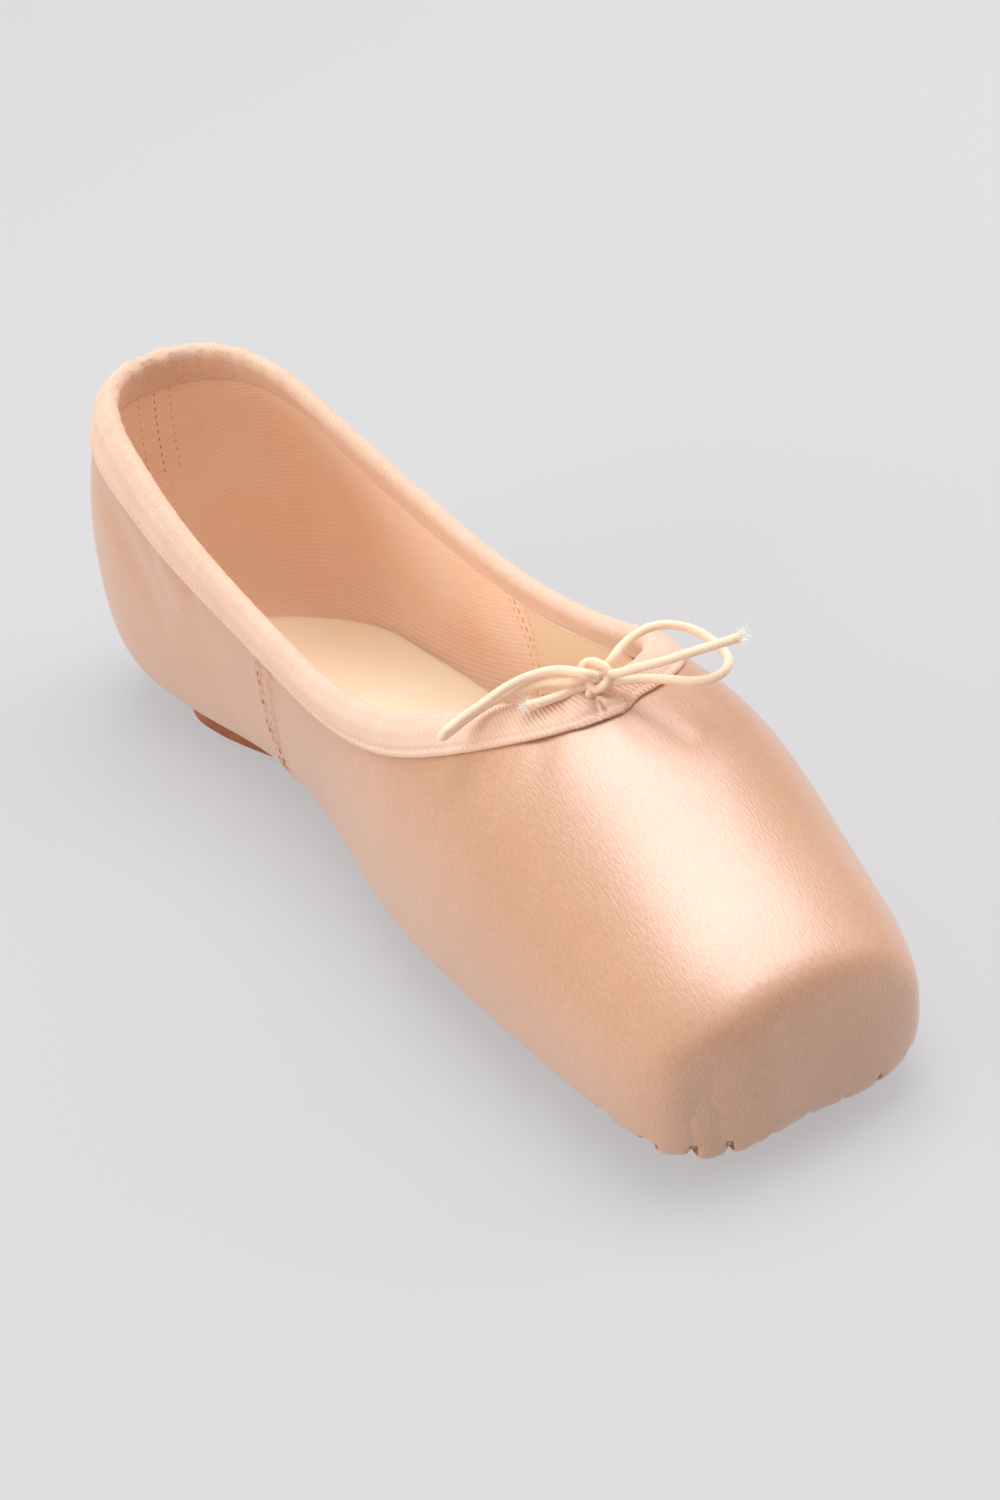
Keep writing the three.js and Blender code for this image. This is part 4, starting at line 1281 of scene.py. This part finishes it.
# The label's hem: how far it stands out and its width. Its edge: how far it dips and over what width. Its
# waves: height, and length over 2 pi along the label and down it.
LABEL_HEM, LABEL_HEM_WIDTH = 0.16, 1.9
LABEL_DIP, LABEL_DIP_WIDTH = 0.25, 0.35
LABEL_WAVE, WAVE_ALONG, WAVE_DOWN = 0.10, 4.1, 3.0


def label():
    """The cloth label on the lining, hemmed and stitched round, with nothing on it."""
    first, last = station_at(LABEL_BACK + LABEL_LENGTH), station_at(LABEL_BACK)
    stations = np.linspace(first, last, 61)
    downs = CASING_INSIDE + LABEL + LABEL_HEIGHT * np.linspace(0, 1, 31)
    wide = (stations - first) / (last - first) * LABEL_LENGTH
    face, back, cloth = [], [], []
    for down in downs:
        edge = np.minimum(np.minimum(wide, LABEL_LENGTH - wide), min(down - downs[0], downs[-1] - down))
        hem = LABEL_HEM * smooth(edge, LABEL_HEM_WIDTH, LABEL_HEM_WIDTH - 0.4)
        hem -= LABEL_DIP * smooth(edge, LABEL_DIP_WIDTH, 0.0)
        wave = LABEL_WAVE * np.sin(wide / WAVE_ALONG + down / WAVE_DOWN)
        outer = from_edge(down, -WALL - GAP - LABEL)
        away = unit(from_edge(down, -WALL - GAP - LABEL - 1.0) - outer)
        place = np.array([at_station(outer, k) for k in stations])
        up = unit(np.array([at_station(away, k) for k in stations]))
        face.append(place + up * (hem + wave)[:, None])
        back.append(place - up * (LABEL * 0.8 - wave)[:, None])
        cloth.append(np.stack([wide, np.full_like(wide, down)], -1))
    face, cloth = np.array(face), np.array(cloth)
    rings = np.concatenate([face, np.array(back)[:, ::-1]], axis=1)
    cloth = np.concatenate([cloth, cloth[:, ::-1]], axis=1) / CLOTH_UNIT
    faces = [each[::-1] for each in bar_faces(len(downs), rings.shape[1])]
    rides(mesh_piece("label_piece", slant(rings), faces, [LABEL_CLOTH], uv=cloth), "label_cloth", "label")
    line = np.concatenate([face[2, 2:-2], face[2:-2, -3], face[-3, -3:1:-1], face[-3:1:-1, 2]])
    sizes = {"pitch": 1.7, "length": 1.0, "radius": 0.12}
    stitches("label_cloth", "label_stitches", line, -normal_at(line), THREAD_TAN, **sizes)


# Light and floor

FLOOR_COLOR = (0.235, 0.235, 0.238)
FLOOR_GLOW = 0.40


# Half the floor's length, in metres
FLOOR_HALF = 10.0


def make_floor():
    corners = [(FLOOR_HALF * x, FLOOR_HALF * y, 0) for x, y in ((-1, -1), (1, -1), (1, 1), (-1, 1))]
    mesh = bpy.data.meshes.new("floor")
    mesh.from_pydata(corners, [], [(0, 1, 2, 3)])
    floor = bpy.data.objects.new("floor", mesh)
    bpy.context.scene.collection.objects.link(floor)
    paint = Paint("floor_paper", 0.9, Specular_IOR_Level=0.1, Emission_Color=(0.98, 0.98, 1.0),
                  Emission_Strength=FLOOR_GLOW)
    paint.color(FLOOR_COLOR)
    mesh.materials.append(paint.material)


LIGHTS = (
    # name, place in metres, size in metres, power in watts, colour
    ("key", (-0.24, 0.34, 1.32), 1.05, 13.5, (1.0, 0.99, 0.995)),
    ("front", (-0.20, -1.50, 0.42), 1.2, 18.0, (1.0, 0.985, 0.92)),
    ("left", (0.30, 1.40, 0.80), 1.0, 10.0, (1.0, 0.94, 0.88)),
)
SKY = ((0.0, 0.45), (0.35, 0.50), (0.75, 1.05), (1.0, 1.5))
SKY_STRENGTH = 0.63


def make_lights():
    for name, place, size, power, color in LIGHTS:
        light = bpy.data.lights.new(name, "AREA")
        light.shape = "SQUARE"
        light.size = size
        light.energy = power
        light.color = color
        lamp = bpy.data.objects.new(name, light)
        lamp.location = place
        lamp.visible_glossy = name == "key"
        lamp.rotation_euler = (Vector((0, 0, 0.03)) - Vector(place)).to_track_quat("-Z", "Y").to_euler()
        bpy.context.scene.collection.objects.link(lamp)
    world = bpy.data.worlds.new("studio")
    world.use_nodes = True
    nodes, link = world.node_tree.nodes, world.node_tree.links.new
    way = nodes.new("ShaderNodeTexCoord")
    split = nodes.new("ShaderNodeSeparateXYZ")
    ramp = nodes.new("ShaderNodeValToRGB")
    link(way.outputs["Generated"], split.inputs["Vector"])
    link(split.outputs["Z"], ramp.inputs["Fac"])
    elements = ramp.color_ramp.elements
    while len(elements) < len(SKY):
        elements.new(0.5)
    for element, (place, level) in zip(elements, SKY):
        element.position = place
        element.color = (level, level * 0.995, level * 0.99, 1.0)
    background = nodes["Background"]
    link(ramp.outputs["Color"], background.inputs["Color"])
    background.inputs["Strength"].default_value = SKY_STRENGTH
    bpy.context.scene.world = world
    bpy.context.scene.view_settings.view_transform = "Standard"


SATIN = satin_paint()
TAPE_CLOTH = tape_paint()
LINING = lining_paint()
BOARD = board_paint()
LEATHER = leather_paint()
LABEL_CLOTH = label_paint()
CORD_CLOTH = cord_paint()
THREAD = thread_paint("thread_pale", 0xF3D5C4)
THREAD_TAN = thread_paint("thread_tan", 0xDDAE88)
# A darker copy of the thread: painted shade for stitches that lie in grooves or deep in a seam.
THREAD_PAINTED_SHADE = thread_paint("thread_painted_shade", 0xB07450)
# The orange line at the tape's outer edge: the satin's edge and painted shade under it, made like a thread.
TAPE_EDGE_AND_PAINTED_SHADE = thread_paint("tape_edge_and_painted_shade", 0xF2AC7E)
# Dark brown painted shadow for the pleats' notches, made like a thread.
PAINTED_PLEAT_SHADOW = thread_paint("painted_pleat_shadow", 0x9A4F2C)

# The heel seam's rows on the inside: how far aside and out they lie, their letter and thread, and where the
# rows end below the collar.
# The middle row, set deepest, has the darker thread: painted shade.
HEEL_ROWS = ((-3.9, -0.02, "a", THREAD_TAN), (0.0, -0.36, "b", THREAD_PAINTED_SHADE), (3.9, -0.02, "c", THREAD_TAN))
HEEL_SEAM_END = 31.0

make_camera()
cords = drawstring(CORD_CLOTH)
wrap = knot(CORD_CLOTH)
tufts(glowing_tuft_paint())
upper()
binding()
tape_end()
outsole()
insole()
label()
casing_stitches()
seam_stitches()
make_floor()
make_lights()
